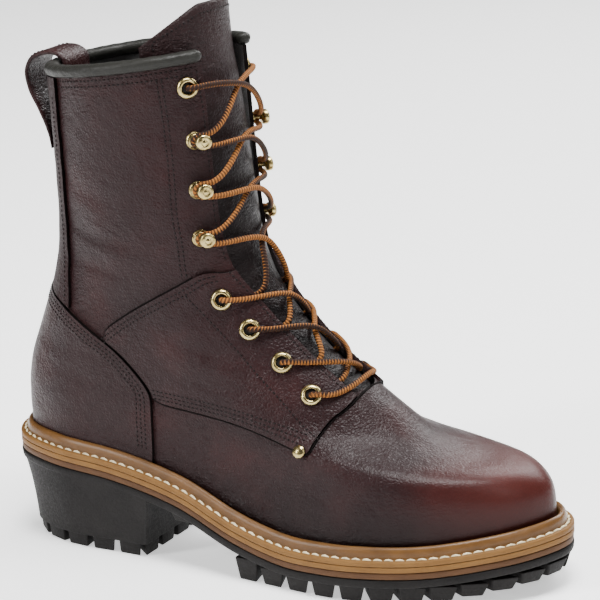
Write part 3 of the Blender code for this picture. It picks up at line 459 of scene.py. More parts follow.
def clean(obj, merge=TINY):
    shape = bmesh.new()
    shape.from_mesh(obj.data)
    bmesh.ops.remove_doubles(shape, verts=shape.verts, dist=merge)
    bmesh.ops.recalc_face_normals(shape, faces=shape.faces)
    shape.to_mesh(obj.data)
    shape.free()


def finish_piece(obj, *nodes, slot_name=None):
    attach(obj, "root")
    if nodes:
        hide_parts(*nodes)
    return obj


def piece(name, shape, looks, slot_name, *nodes, merge=0.0, sharp=0, face_slots=None):
    """A finished piece from its points and faces; with nodes, it stands for those CAD nodes."""
    obj = mesh_object(name, *shape, looks, face_slots)
    if merge:
        clean(obj, merge)
    if sharp:
        smooth(obj.data, sharp)
    return finish_piece(obj, *nodes, slot_name=slot_name)


def sheet(outer, inner, keep, wraps):
    """Points, faces and face kinds (0 outer, 1 inner, 2 edge) of a wall between two grids."""
    rows, columns = outer.shape[:2]
    points = np.concatenate([outer.reshape(-1, 3), inner.reshape(-1, 3)])
    under = rows * columns
    faces, kinds, edges = [], [], {}
    for i in range(rows - 1):
        for j in range(columns if wraps else columns - 1):
            if not keep(i, j):
                continue
            k = (j + 1) % columns
            cell = [i * columns + j, i * columns + k, (i + 1) * columns + k, (i + 1) * columns + j]
            faces += [cell, [under + c for c in reversed(cell)]]
            kinds += [0, 1]
            for a, b in zip(cell, cell[1:] + cell[:1]):
                if edges.pop((b, a), None) is None:
                    edges[(a, b)] = True
    faces += [[b, a, under + a, under + b] for a, b in edges]
    return points, faces, kinds + [2] * len(edges)


def loft(rings, ends=True):
    count = len(rings[0])
    points = np.concatenate(rings)
    faces = [list(range(count))[::-1], list(range(len(points) - count, len(points)))] if ends else []
    for k in range(len(rings) - 1):
        for j in range(count):
            a, b = k * count + j, k * count + (j + 1) % count
            faces.append([a, b, b + count, a + count])
    return points, faces


def joined(blocks):
    points, faces, start = [], [], 0
    for block_points, block_faces in blocks:
        points.append(np.asarray(block_points))
        faces += [[i + start for i in face] for face in block_faces]
        start += len(block_points)
    return np.concatenate(points), faces


def turns(count):
    return np.arange(count) * 2 * math.pi / count


def round_section(centre, radius, across, out, count):
    """A ring round a centre in the plane of two directions."""
    turn = turns(count)
    return centre + radius * (np.outer(np.cos(turn), across) + np.outer(np.sin(turn), out))


def squared(values, power):
    """Cosines or sines raised to a power with their sign kept, for sections between a circle and a square."""
    return np.sign(values) * np.abs(values) ** power


def unit(vectors):
    """Vectors of length 1, one or a row of them."""
    return vectors / np.linalg.norm(vectors, axis=-1, keepdims=True)


def smoothed(outline, rounds=2):
    """Chaikin's corner cutting of a closed outline."""
    points = np.asarray(outline, float)
    for _ in range(rounds):
        after = np.roll(points, -1, 0)
        points = np.stack([0.75 * points + 0.25 * after, 0.25 * points + 0.75 * after], 1).reshape(-1, 2)
    return points


def cut_to(obj, outline, low, high):
    """Keeps what lies inside a side-view outline between two y values."""
    rings = [np.insert(np.asarray(outline, float), 1, y, axis=1) for y in (low, high)]
    # The cut faces take the edge look, which is near-black partly as painted shade.
    cutter = mesh_object("cutter", *loft(rings), "edge")
    clean(cutter)
    modifier = obj.modifiers.new("cut", "BOOLEAN")
    modifier.operation = "INTERSECT"
    modifier.material_mode = "TRANSFER"
    modifier.solver = "EXACT"
    modifier.object = cutter
    graph = bpy.context.evaluated_depsgraph_get()
    mesh = bpy.data.meshes.new_from_object(obj.evaluated_get(graph))
    obj.modifiers.clear()
    obj.data = mesh
    bpy.data.objects.remove(cutter)
    smooth(mesh, 35)


# Materials

EVEN = (1.0, 1.0, 1.0)


class Nodes:
    """Short calls for building a procedural material."""

    def __init__(self, name, roughness):
        self.material = bpy.data.materials.new(name)
        self.material.use_nodes = True
        self.tree = self.material.node_tree
        self.set(Roughness=roughness)

    def give(self, node, inputs):
        """Sets a node's inputs, each to a number, a tuple or another node's socket."""
        for key, value in inputs.items():
            if isinstance(value, bpy.types.NodeSocket):
                self.tree.links.new(value, node.inputs[key])
            else:
                node.inputs[key].default_value = value

    def set(self, **inputs):
        """Sets the shader's inputs and returns the material."""
        shader = self.tree.nodes["Principled BSDF"]
        self.give(shader, {key.replace("_", " "): value for key, value in inputs.items()})
        return self.material

    def add(self, kind, inputs, **values):
        node = self.tree.nodes.new("ShaderNode" + kind)
        for key, value in values.items():
            setattr(node, key, value)
        self.give(node, inputs)
        return node.outputs

    def place(self, scale=EVEN):
        """Position on the boot in metres, times a scale."""
        where = self.add("TexCoord", {})["Object"]
        return self.add("Mapping", {"Vector": where, "Scale": scale})["Vector"]

    def along(self, axis):
        """Position on the boot along one axis."""
        return self.add("SeparateXYZ", {0: self.add("TexCoord", {})["Object"]})[axis]

    def noise(self, size, detail=4.0, rough=0.55, scale=EVEN):
        inputs = {"Scale": 1.0 / size, "Detail": detail, "Roughness": rough, "Vector": self.place(scale)}
        return self.add("TexNoise", inputs)["Fac"]

    def cells(self, size, warp=0.0):
        """Distance to the walls of cells, the cells bent by a share of their size."""
        vector = self.place()
        if warp:
            shift = self.add("TexNoise", {"Scale": 0.5 / size, "Vector": vector})["Color"]
            bent = {0: shift, 1: (warp * size,) * 3, 2: vector}
            vector = self.add("VectorMath", bent, operation="MULTIPLY_ADD")[0]
        inputs = {"Scale": 1.0 / size, "Vector": vector}
        return self.add("TexVoronoi", inputs, feature="DISTANCE_TO_EDGE")["Distance"]

    def remap(self, value, low, high, to_low=0.0, to_high=1.0):
        inputs = {"Value": value, "From Min": low, "From Max": high, "To Min": to_low, "To Max": to_high}
        return self.add("MapRange", inputs)["Result"]

    def maths(self, operation, a, b=0.0):
        return self.add("Math", {0: a, 1: b}, operation=operation)[0]

    def mix(self, factor, a, b, blend="MIX"):
        """Two colours mixed, each three numbers or a socket."""
        a, b = ((*value, 1.0) if isinstance(value, tuple) else value for value in (a, b))
        return self.add("Mix", {0: factor, 6: a, 7: b}, data_type="RGBA", blend_type=blend)[2]

    def bump(self, *layers, edge=0.0):
        """Bump layers, each (height socket, depth in metres), over edges rounded by a radius."""
        inputs = {"Normal": self.add("Bevel", {"Radius": edge}, samples=4)["Normal"]} if edge else {}
        for height, depth in layers:
            inputs = {"Normal": self.add("Bump", {"Distance": depth, "Height": height, **inputs})["Normal"]}
        self.set(**inputs)


TOE_RED = (0.055, 0.0115, 0.0092)
PORE_DARK = (0.005, 0.0025, 0.0025)
# Height ranges in metres over which painted shade fades out: on the tongue low in the throat, and on the toe near
# the sole.
TONGUE_SHADE = (0.200, 0.262)
SOLE_SHADE = (0.030, 0.062)
VAMP_LENGTH = 0.07


def leather_material(name, base, light, toe=False, grain=1.0, roughness=0.42, deep=False, shine=0.12):
    """Leather: blotches, pebbles, wrinkles and creases; toe reddens the toe and paints shade on it towards the
    sole, deep paints shade on the tongue low down.
    """
    made = Nodes(name, roughness)
    blotch = made.noise(0.030, 3.0)
    fine = made.noise(0.0011, 3.0)
    colour = made.mix(made.remap(blotch, 0.30, 0.80), base, light)
    toe_start, toe_end = TOE_START - ORIGIN[0], TOE_END - ORIGIN[0]
    if toe:
        red = made.remap(made.along("X"), toe_start, toe_end)
        wander = made.maths("ADD", red, made.remap(blotch, 0.3, 0.7, -0.12, 0.12))
        colour = made.mix(made.remap(wander, 0.0, 1.0), colour, TOE_RED)
        # Painted shade: the toe darkens towards the sole.
        low = made.remap(made.along("Z"), *SOLE_SHADE, 0.35, 1.0)
        colour = made.mix(1.0, colour, low, "MULTIPLY")
    # Painted shade: the tongue darkens towards the bottom of the throat, where the flaps shadow it.
    if deep:
        shade = made.remap(made.along("Z"), *TONGUE_SHADE, 0.30, 1.0)
        colour = made.mix(1.0, colour, shade, "MULTIPLY")
    pore = made.remap(made.cells(0.0017, warp=0.8), 0.0, 0.34)
    colour = made.mix(made.remap(pore, 0.0, 0.5, 0.16, 0.0), colour, PORE_DARK)
    smooth_toe = made.remap(made.along("X"), toe_start - VAMP_LENGTH, toe_end, 1.0, 0.18)
    wrinkle = made.noise(0.0050, 4.0, 0.50)
    patches = made.remap(made.noise(0.045, 2.0), 0.46, 0.66)
    crease = made.maths("MULTIPLY", made.noise(0.0034, 3.0, 0.6, (1.0, 1.0, 1.7)), patches)
    layers = [(made.maths("MULTIPLY", height, smooth_toe), depth * grain)
              for height, depth in ((wrinkle, 0.0009), (crease, 0.0014), (pore, 0.00020), (fine, 0.00006))]
    made.bump(*layers, edge=0.0004)
    return made.set(Base_Color=colour, Roughness=made.remap(fine, 0.3, 0.7, roughness - 0.05, roughness + 0.07),
                    Coat_Weight=shine / 3, Coat_Roughness=0.30, Specular_IOR_Level=shine)


def plain_material(name, colour, roughness, grain=0.0, size=0.001, spread=0.35, **more):
    made = Nodes(name, roughness)
    blotch = made.noise(size * 12, 3.0)
    dark = tuple(c * (1 - spread) for c in colour)
    if grain:
        made.bump((made.noise(size, 4.0), grain), edge=0.0003)
    return made.set(Base_Color=made.mix(made.remap(blotch, 0.3, 0.7), dark, colour), **more)


def edge_material(name, base, dark):
    """Cut leather edge: fine level lines along the edge over a mottled tan."""
    made = Nodes(name, 0.55)
    lines = made.noise(0.0011, 3.0, 0.6, (0.30, 0.30, 1.0))
    mottled = tuple(0.5 * (a + b) for a, b in zip(base, dark))
    colour = made.mix(made.remap(made.noise(0.010, 4.0), 0.35, 0.7), base, mottled)
    made.bump((lines, 0.0002), (made.noise(0.0012), 0.0002), edge=0.0004)
    return made.set(Base_Color=made.mix(made.remap(lines, 0.40, 0.80, 0.0, 0.30), colour, dark),
                    Specular_IOR_Level=0.15)


def lining_material():
    made = Nodes("lining_fabric", 0.85)
    made.bump((made.cells(0.0013), 0.0006), (made.noise(0.0009), 0.0003))
    return made.set(Base_Color=made.mix(made.noise(0.02, 3.0), (0.030, 0.029, 0.028), (0.060, 0.058, 0.056)),
                    Sheen_Weight=0.3, Sheen_Roughness=0.5)


def rubber_material():
    made = Nodes("black_rubber", 0.62)
    blotch = made.remap(made.noise(0.02, 4.0), 0.3, 0.7)
    fine = made.noise(0.0012, 4.0)
    made.bump((fine, 0.0002), edge=0.0005)
    return made.set(Base_Color=made.mix(blotch, (0.0060, 0.0053, 0.0051), (0.0110, 0.0098, 0.0094)),
                    Roughness=made.remap(fine, 0.3, 0.7, 0.5, 0.72), Specular_IOR_Level=0.12)


def brass_material():
    made = Nodes("antique_brass", 0.3)
    wear = made.noise(0.003, 4.0)
    made.bump((made.noise(0.0012), 0.00003), edge=0.0002)
    return made.set(Base_Color=made.mix(made.remap(wear, 0.35, 0.7), (0.33, 0.25, 0.10), (0.48, 0.39, 0.18)),
                    Roughness=made.remap(wear, 0.3, 0.7, 0.34, 0.18), Metallic=1.0)


STRANDS_PER_METRE = 620.0


def lace_material():
    """Round braided lace: orange brown with dark flecks and painted shade in the braid's grooves, laid along the
    tube by its own length.
    """
    made = Nodes("round_lace", 0.75)
    spot = made.add("SeparateXYZ", {0: made.add("UVMap", {})["UV"]})
    turn = made.maths("ADD", spot[1], made.maths("MULTIPLY", spot[0], 3.0))
    strand = made.maths("ADD", made.maths("MULTIPLY", spot[0], STRANDS_PER_METRE), turn)
    side = made.maths("SINE", made.maths("MULTIPLY", turn, 2 * math.pi))
    tick = made.maths("SUBTRACT", made.maths("PINGPONG", strand, 0.5), 0.25)
    lean = made.maths("ADD", made.maths("MULTIPLY", side, 0.9), 0.25)
    mask = made.maths("ADD", lean, made.maths("MULTIPLY", tick, 2.4))
    rib = made.remap(made.maths("SINE", made.maths("MULTIPLY", strand, 2 * math.pi)), -1.0, 1.0)
    # Painted shade: where rib is low, in the braid's grooves, the colour is much darker than on its ridges.
    orange = made.mix(rib, (0.050, 0.018, 0.006), (0.29, 0.108, 0.023))
    made.bump((rib, 0.00022), (made.noise(0.0004), 0.0001))
    return made.set(Base_Color=made.mix(made.remap(mask, -0.15, 0.15), (0.016, 0.0065, 0.004), orange),
                    Specular_IOR_Level=0.15)


def floor_material():
    made = Nodes("pale_floor", 0.75)
    return made.set(Base_Color=made.mix(made.noise(0.004, 3.0), (0.90, 0.90, 0.90), (0.93, 0.93, 0.93)),
                    Specular_IOR_Level=0.1, Emission_Color=(1.0, 1.0, 1.0, 1.0), Emission_Strength=0.75)


LOOKS = {
    # Boot leather: toe=True reddens the toe and paints shade on it towards the sole.
    "leather": leather_material("boot_leather", (0.0132, 0.0051, 0.0055), (0.0205, 0.0076, 0.0080),
                                toe=True, roughness=0.38),
    # Tongue: a darker copy of the boot leather, painted shade for the tongue lying in the flaps' shadow; deep adds
    # more painted shade low in the throat.
    "tongue": leather_material("tongue_leather", (0.0110, 0.0045, 0.0048), (0.0170, 0.0066, 0.0068), deep=True),
    "strap": leather_material("strap_leather", (0.0130, 0.0050, 0.0054), (0.0200, 0.0074, 0.0078),
                              roughness=0.50, shine=0.06),
    # Edge look for cut faces, throat edges and edge beads: the leather's own dark raw edge, deepened to near-black
    # as painted shade along the panel edges.
    "edge": plain_material("cut_edge", (0.0040, 0.0022, 0.0020), 0.8, 0.0003, 0.0006, Specular_IOR_Level=0.08),
    "padded": leather_material("binding_leather", (0.0145, 0.0143, 0.0125), (0.0220, 0.0218, 0.0190), grain=0.5),
    "lining": lining_material(),
    "tan": edge_material("welt_leather", (0.170, 0.084, 0.024), (0.105, 0.047, 0.013)),
    "slip": edge_material("slip_leather_edge", (0.080, 0.037, 0.015), (0.045, 0.020, 0.009)),
    "bead": plain_material("welt_bead", (0.125, 0.057, 0.015), 0.36, 0.0002, 0.0012, 0.4,
                           Coat_Weight=0.08, Coat_Roughness=0.25, Specular_IOR_Level=0.25),
    "rubber": rubber_material(),
    "brass": brass_material(),
    "thread": plain_material("welt_thread", (0.84, 0.72, 0.47), 0.7, 0.0003, 0.0004),
    "dark_thread": plain_material("dark_thread", (0.0060, 0.0028, 0.0026), 0.6, 0.0002, 0.0004,
                                  Specular_IOR_Level=0.15),
    # Near-black disc colour for the eyelet bores: painted shade inside the holes.
    "hole": plain_material("hole_dark", (0.006, 0.005, 0.005), 0.9),
    "board": plain_material("insole_board_face", (0.30, 0.22, 0.15), 0.8, 0.0003, 0.0008),
    "lace": lace_material(),
    "floor": floor_material(),
}


# Places on the boot's surface

RIDGE_COLUMN = THROAT_COLUMN + STRIP_STEPS
SIDE_COLUMNS = {
    -1: [RIDGE_COLUMN - k for k in range(RIDGE_COLUMN + 1)],
    1: [(RIDGE_COLUMN + k) % COLUMNS for k in range(RIDGE_COLUMN + 1)],
}
SIDE_LENGTHS = {
    side: np.concatenate([np.zeros((len(FINE_ROWS), 1)),
                          np.cumsum(np.linalg.norm(np.diff(GRID[:, order], axis=1), axis=2), axis=1)], 1)
    for side, order in SIDE_COLUMNS.items()}


def on_boot(row, reach):
    """The point and normal at a ring number and a distance from the ridge, below 0 on the outer side."""
    side = -1 if reach < 0 else 1
    order = SIDE_COLUMNS[side]
    k = int(np.clip(np.searchsorted(FINE_ROWS, row) - 1, 0, len(FINE_ROWS) - 2))
    share = np.clip((row - FINE_ROWS[k]) / (FINE_ROWS[k + 1] - FINE_ROWS[k]), 0, 1)
    found = []
    for values in (GRID, NORMALS):
        both = [[np.interp(abs(reach), SIDE_LENGTHS[side][i], values[i, order, c]) for c in range(3)]
                for i in (k, k + 1)]
        found.append(np.array(both[0]) * (1 - share) + np.array(both[1]) * share)
    return found[0], found[1] / np.linalg.norm(found[1])


def boot_frame(row, reach):
    """The point, its outward normal and the direction up the flap."""
    point, normal = on_boot(row, reach)
    up = on_boot(min(row + 0.1, COLLAR_RING), reach)[0] - on_boot(row - 0.1, reach)[0]
    up -= normal * (up @ normal)
    return point, normal, up / np.linalg.norm(up)


def resample(points, normals, step):
    points, normals = np.array(points), np.array(normals)
    length = arc_lengths(points)
    at = np.linspace(0, length[-1], max(2, int(round(length[-1] / step)) + 1))
    return at_lengths(points, at), np.stack([np.interp(at, length, values) for values in normals.T], -1)


def smooth_line(knots, per_span=12):
    """A smooth open curve through knots of any dimension."""
    knots = np.asarray(knots, float)
    length = arc_lengths(knots)
    at = np.linspace(0, length[-1], per_span * (len(knots) - 1) + 1)
    return np.stack([curve(length, knots[:, c], at) for c in range(knots.shape[1])], 1)


# Stitches

STITCH_PITCH = 0.0025
STITCH_RADIUS = 0.00042
STITCH_LIFT = 0.0001
STITCH_SHAPE = ((-1.0, 0.30), (-0.72, 0.86), (0.0, 1.0), (0.72, 0.86), (1.0, 0.30))


def stitches(path, normals, height=STITCH_LIFT, pitch=STITCH_PITCH, radius=STITCH_RADIUS, fill=0.74, lean=0.0):
    """Small rounded stitches laid along a path, as a list of points and faces."""
    path, normals = resample(path, normals, pitch)
    blocks = []
    for start, end, normal in zip(path, path[1:], normals):
        along = end - start
        half = np.linalg.norm(along) / 2 * fill
        along = unit(along)
        out = unit(normal - along * (normal @ along))
        across = np.cross(along, out)
        along = unit(along + across * (lean + random.uniform(-0.04, 0.04)))
        rings = []
        for t, r in STITCH_SHAPE:
            centre = (start + end) / 2 + along * (half * t) + out * (height - radius * 0.9 * t * t)
            rings.append(round_section(centre, radius * r, across, 0.8 * out, 6))
        blocks.append(loft(rings))
    return blocks


def thread_piece(name, blocks):
    piece(name, joined(blocks), "dark_thread", "leather")


def foot_outline(shares):
    """Side-view points from shares (x, up) of the sole's length and, above the welt, the back height."""
    return [(x * SOLE_LENGTH, float(welt_base(x * SOLE_LENGTH)) + up * BACK_HEIGHT) for x, up in shares]


def lifted(found, height):
    return np.array([p + n * height for p, n in found]), np.array([n for _, n in found])


def side_path(knots, side, height):
    """A smooth path over one side from side-view shares (x, up)."""
    return lifted([side_point(x, z, side) for x, z in smooth_line(foot_outline(knots))], height)


def flap_path(knots, side, height):
    """A smooth path over one flap from ring numbers and distances from the ridge."""
    return lifted([on_boot(row, side * reach) for row, reach in smooth_line(knots, 8)], height)


def left_of(line):
    """Unit directions to the left of a line of (x, z) points."""
    along = unit(np.gradient(line, axis=0))
    return np.stack([-along[:, 1], along[:, 0]], 1)


def seam_rows(knots, insets, side, height):
    """Rows of stitches to the right of a side-view line, each its own distance from it."""
    blocks = []
    points = np.array([(x * SOLE_LENGTH, up * BACK_HEIGHT) for x, up in knots])
    for inset in insets:
        moved = (points - inset * left_of(points)) / (SOLE_LENGTH, BACK_HEIGHT)
        blocks += stitches(*side_path(moved, side, height))
    return blocks


# Upper

# Near-black beads at the foot of panel edges: a painted shadow line, set further out below edges that face down.
EDGE_RADIUS = 0.0007
EDGE_AWAY = 0.0003
EDGE_BELOW = 0.0007
EDGE_LIFT = 0.0002
SHADOW_BEAD_TOP = float(welt_base(0.40 * SOLE_LENGTH)) + 0.60 * BACK_HEIGHT
PANEL_TOP = CLEARANCE + PANEL_THICKNESS
BAND_SINK = 0.0004
PAST_SIDE = 0.1


def edge_shadow_bead(path, normals):
    """A near-black bead, half sunk in the leather, along the foot of a cut edge: a painted shadow line under the
    panel's edge.
    """
    tangents = np.gradient(np.array(path), axis=0)
    return loft([round_section(point, EDGE_RADIUS, unit(np.cross(along, out)), out, 6)
                 for point, along, out in zip(path, tangents, normals)])


def outline_shadow_beads(outline, side):
    """Painted shadow beads just outside a closed side-view outline, wherever it runs over this side of the boot.
    """
    closed = np.insert(np.vstack([outline, outline[:1]]), 1, 0.0, axis=1)
    line = resample(closed, closed, 0.0012)[0][:, [0, 2]]
    outward = left_of(line)
    line = line + outward * (EDGE_AWAY + EDGE_BELOW * np.clip(-outward[:, 1:], 0, 1))
    runs = [[]]
    for x, z in line:
        point, normal = side_point(x, z, side)
        if z < SHADOW_BEAD_TOP and math.hypot(point[0] - x, point[2] - z) < 0.0005:
            runs[-1].append((point + normal * EDGE_LIFT, normal))
        else:
            runs.append([])
    return [edge_shadow_bead(*zip(*run)) for run in runs if len(run) > 4]


def whole(i, j):
    return True


def build_upper():
    def keep(i, j):
        return i < THROAT_ROW or not THROAT_COLUMN <= j < COLUMNS - THROAT_COLUMN

    *shape, kinds = sheet(GRID, GRID - NORMALS * UPPER_WALL, keep, True)
    piece("boot_upper", shape, "leather lining edge", "leather", "upper", merge=1e-7, sharp=45, face_slots=kinds)


def fine_band(name, low, high, columns, thickness, looks="leather"):
    """A band of leather on the surface, between two ring numbers and over a range of columns."""
    area = np.ix_([i for i, row in enumerate(FINE_ROWS) if low <= row <= high], columns)
    outer, inner = GRID[area] + NORMALS[area] * thickness, GRID[area] - NORMALS[area] * BAND_SINK
    obj = mesh_object(name, *sheet(outer, inner, whole, False)[:2], looks)
    clean(obj)
    return obj


QUARTER_EDGE = [
    (0.219, 0.352), (0.280, 0.436), (0.343, 0.517), (0.384, 0.573), (0.408, 0.612), (0.428, 0.632),
    (0.450, 0.640), (0.480, 0.680), (0.620, 0.560), (0.668, 0.420), (0.655, 0.372), (0.644, 0.352),
    (0.632, 0.338), (0.618, 0.300), (0.612, 0.262), (0.600, 0.262), (0.540, 0.276), (0.476, 0.272),
    (0.405, 0.242), (0.319, 0.212), (0.313, 0.243), (0.294, 0.276), (0.259, 0.319),
]
QUARTER_TOP, QUARTER_LOWER = QUARTER_EDGE[:6], QUARTER_EDGE[15:20]
QUARTER_FACING = [(11.2, 0.0555), (10.4, 0.0530), (9.5, 0.0532), (8.5, 0.0588), (7.6, 0.0649), (6.5, 0.0751)]
QUARTER_RIM = [(12.0, 0.0275), (11.2, 0.0222), (10.2, 0.0195), (9.2, 0.0190), (8.45, 0.0190)]
COUNTER_EDGE = [
    (-0.10, 0.480), (0.060, 0.442), (0.110, 0.420), (0.160, 0.392), (0.213, 0.350), (0.253, 0.316),
    (0.288, 0.273), (0.307, 0.240), (0.312, 0.210), (0.312, 0.150), (0.312, 0.0),
]
COUNTER_SEAM = [
    (0.031, 0.448), (0.060, 0.438), (0.110, 0.416), (0.160, 0.388), (0.213, 0.346), (0.253, 0.312),
    (0.284, 0.271), (0.301, 0.238), (0.305, 0.208), (0.305, 0.150), (0.305, 0.070),
]
COUNTER_TOP_GAP = 0.004
BACKSTAY_EDGE = 0.157
BACKSTAY_SEAM = 0.0026
SHAFT_FACING = [(16.7, 0.0465), (15.5, 0.0453), (14.5, 0.0453), (13.7, 0.0464), (12.7, 0.0467), (11.8, 0.0496)]
FACING_GAP = 0.0025
SHAFT_RIM = [(16.8, 0.0285), (15.6, 0.0270), (14.3, 0.0270), (13.2, 0.0275), (12.3, 0.0265)]


def build_quarters():
    outline = smoothed(foot_outline(QUARTER_EDGE))
    for side, name, columns in ((-1, "lateral", range(12, THROAT_COLUMN + 1)),
                                (1, "medial", range(-THROAT_COLUMN, -11))):
        obj = fine_band(f"quarter_{name}_panel", 2.5, 13.5, columns, PANEL_TOP)
        cut_to(obj, outline, min(0.0, side * PAST_SIDE), max(0.0, side * PAST_SIDE))
        finish_piece(obj, f"quarter_{name}", slot_name="leather")
        blocks = seam_rows(QUARTER_LOWER, (0.0022, 0.0044, 0.0066), side, PANEL_TOP)
        blocks += seam_rows(QUARTER_TOP, (0.0022, 0.0044), side, PANEL_TOP)
        for knots in (QUARTER_FACING, QUARTER_RIM):
            blocks += stitches(*flap_path(knots, side, PANEL_TOP))
        thread_piece(f"quarter_{name}_stitches", blocks)
        # The beads along the quarter's edges are a painted shadow line.
        piece(f"quarter_{name}_edge", joined(outline_shadow_beads(outline, side)), "edge", "leather")


def build_counter():
    top = CLEARANCE + COUNTER_THICKNESS
    obj = fine_band("heel_counter_panel", 0.6, 10.5, range(-70, 71), top)
    base = WELT_THICKNESS + BEAD_HEIGHT * 0.55
    xs = np.linspace(COUNTER_EDGE[-1][0], -0.1, 30) * SOLE_LENGTH
    outline = foot_outline(COUNTER_EDGE[:-1]) + [(x, float(welt_base(x)) + base) for x in xs]
    cut_to(obj, smoothed(outline), -PAST_SIDE, PAST_SIDE)
    finish_piece(obj, "heel_counter", slot_name="leather")
    blocks = []
    for side in (-1, 1):
        blocks += seam_rows(COUNTER_SEAM, (0.0016, 0.0040, 0.0064), side, top)
    thread_piece("counter_stitches", blocks)


def build_backstay():
    obj = fine_band("backstay_panel", 8.6, 17, range(-45, 46), PANEL_TOP, "strap")
    low = [(x, up + COUNTER_TOP_GAP) for x, up in COUNTER_EDGE if x < BACKSTAY_EDGE]
    corner = [(BACKSTAY_EDGE, COUNTER_EDGE[3][1] + 0.006 + COUNTER_TOP_GAP), (BACKSTAY_EDGE, 1.2), (-0.1, 1.2)]
    cut_to(obj, foot_outline(low + corner), -PAST_SIDE, PAST_SIDE)
    finish_piece(obj, "backstay", slot_name="leather")
    x = BACKSTAY_EDGE - BACKSTAY_SEAM / SOLE_LENGTH
    blocks = []
    for side in (-1, 1):
        blocks += stitches(*side_path([(x, 0.425), (x, 0.70), (x, 0.97)], side, PANEL_TOP))
    thread_piece("backstay_stitches", blocks)


def build_shaft_stitches():
    blocks = []
    for side in (-1, 1):
        lines = [SHAFT_FACING, [(ring, reach + FACING_GAP) for ring, reach in SHAFT_FACING], SHAFT_RIM]
        reaches = np.linspace(0.030, SIDE_LENGTHS[side][-1][-1] - 0.012, 14)
        lines += [[(COLLAR_RING - drop, reach) for reach in reaches] for drop in (0.12, 0.30)]
        for knots in lines:
            blocks += stitches(*flap_path(knots, side, 0.0))
    thread_piece("shaft_stitches", blocks)


def build_binding():
    """The padded roll round the collar, with a shallow groove along its outer face."""
    order = range(-THROAT_COLUMN, THROAT_COLUMN + 1)
    across, rise = squared(np.cos(turns(32)), 0.8), squared(np.sin(turns(32)), 0.8)
    across = across * (1 - 0.10 * np.exp(-((rise + 0.42) / 0.16) ** 2))
    rings = []
    for k, j in enumerate(order):
        up = unit(GRID[-1, j] - GRID[-2, j])
        middle = GRID[-1, j] - NORMALS[-1, j] * UPPER_WALL / 2 + up * BINDING_HEIGHT / 2
        puff = 1 + 0.02 * math.sin(k * 0.9) + 0.015 * math.sin(k * 0.37)
        end = min(k, len(order) - 1 - k)
        round_end = min(1.0, math.sqrt(1 - max(0.0, 1 - (end + 0.4) / 4) ** 2))
        section = np.outer(across, NORMALS[-1, j] * BINDING_WIDTH) + np.outer(rise, up * BINDING_HEIGHT)
        rings.append(middle + section / 2 * puff * round_end)
    obj = piece("collar_roll", loft(rings), "padded", "padded_leather", "collar_binding")


def build_loop():
    back = GRID[-1, 0]
    over = BINDING_HEIGHT + LOOP_THICKNESS / 2 + LOOP_RISE
    inside = BINDING_WIDTH / 2 + LOOP_THICKNESS / 2 + LOOP_CLEARANCE
    out = CLEARANCE * 2 + PANEL_THICKNESS + LOOP_THICKNESS / 2 + 0.0002
    lean = float(np.interp(back[2] - LOOP_LENGTH, GRID[-60:, 0, 2], GRID[-60:, 0, 0])) - back[0]
    path = smooth_line(np.array([
        (lean - out, -LOOP_LENGTH), (0.8 * lean - out - 0.02 * LOOP_REACH, -0.8 * LOOP_LENGTH),
        (-0.53 * LOOP_REACH, -0.5 * LOOP_LENGTH), (-0.92 * LOOP_REACH, -0.22 * LOOP_LENGTH),
        (-LOOP_REACH, 0.02 * LOOP_LENGTH), (-0.75 * LOOP_REACH, 0.72 * over), (-0.30 * LOOP_REACH, over),
        (0.45 * inside, over), (0.92 * inside, 0.76 * over), (1.05 * inside, 0.0), (inside, -0.25 * LOOP_LENGTH),
    ]) + back[[0, 2]], 10)
    thin = np.interp(arc_lengths(path), [0.0, 0.010], [0.30, 1.0])
    left = left_of(path)
    outward = left * (LOOP_THICKNESS / 2 * thin)[:, None]
    path[:, 0] += (1 - thin) * LOOP_THICKNESS / 2
    wide, thick = squared(np.cos(turns(24)), 0.25) * LOOP_WIDTH / 2, squared(np.sin(turns(24)), 0.45)
    rings = [np.column_stack([x + shift[0] * thick, wide, z + shift[1] * thick])
             for (x, z), shift in zip(path, outward)]
    piece("pull_loop_strap", loft(rings), "leather", "leather", "pull_loop")
    blocks = []
    for y in (-0.42 * LOOP_WIDTH, 0.42 * LOOP_WIDTH):
        line, normals = np.insert(path + outward, 1, y, axis=1), np.insert(left, 1, 0.0, axis=1)
        blocks += stitches(line[:70], normals[:70])
    thread_piece("pull_loop_stitches", blocks)


TONGUE_ROWS = [7.6] + list(np.linspace(8.0, 17.0, 64))
TONGUE_SHARES = np.linspace(-1, 1, 57)
TONGUE_SEAM = 4


def tongue_surface():
    outer, inner = [], []
    for ring in TONGUE_ROWS:
        half = THROAT_WIDTH * float(curve(column(TONGUE, "ring"), column(TONGUE, "half"), ring))
        found = [on_boot(ring, share * half + TINY) for share in TONGUE_SHARES]
        behind_binding = max(0.0, (ring - TONGUE_BEND) / (COLLAR_RING - TONGUE_BEND)) ** 1.5
        depth = UPPER_WALL + TONGUE_GAP + behind_binding * BINDING_WIDTH / 2
        outer.append(lifted(found, -depth)[0])
        inner.append(lifted(found, -depth - TONGUE_THICKNESS)[0])
    rise = TONGUE_RISE * (1 - 0.60 * np.clip((np.abs(TONGUE_SHARES) - 0.3) / 0.7, 0, 1) ** 1.2)
    up = np.array([boot_frame(16.9, share * half + TINY)[2] for share in TONGUE_SHARES]) * rise[:, None]
    levels = np.linspace(0, 1, 13)[1:]
    return [np.array(grid + [grid[-1] + up * level for level in levels]) for grid in (outer, inner)]


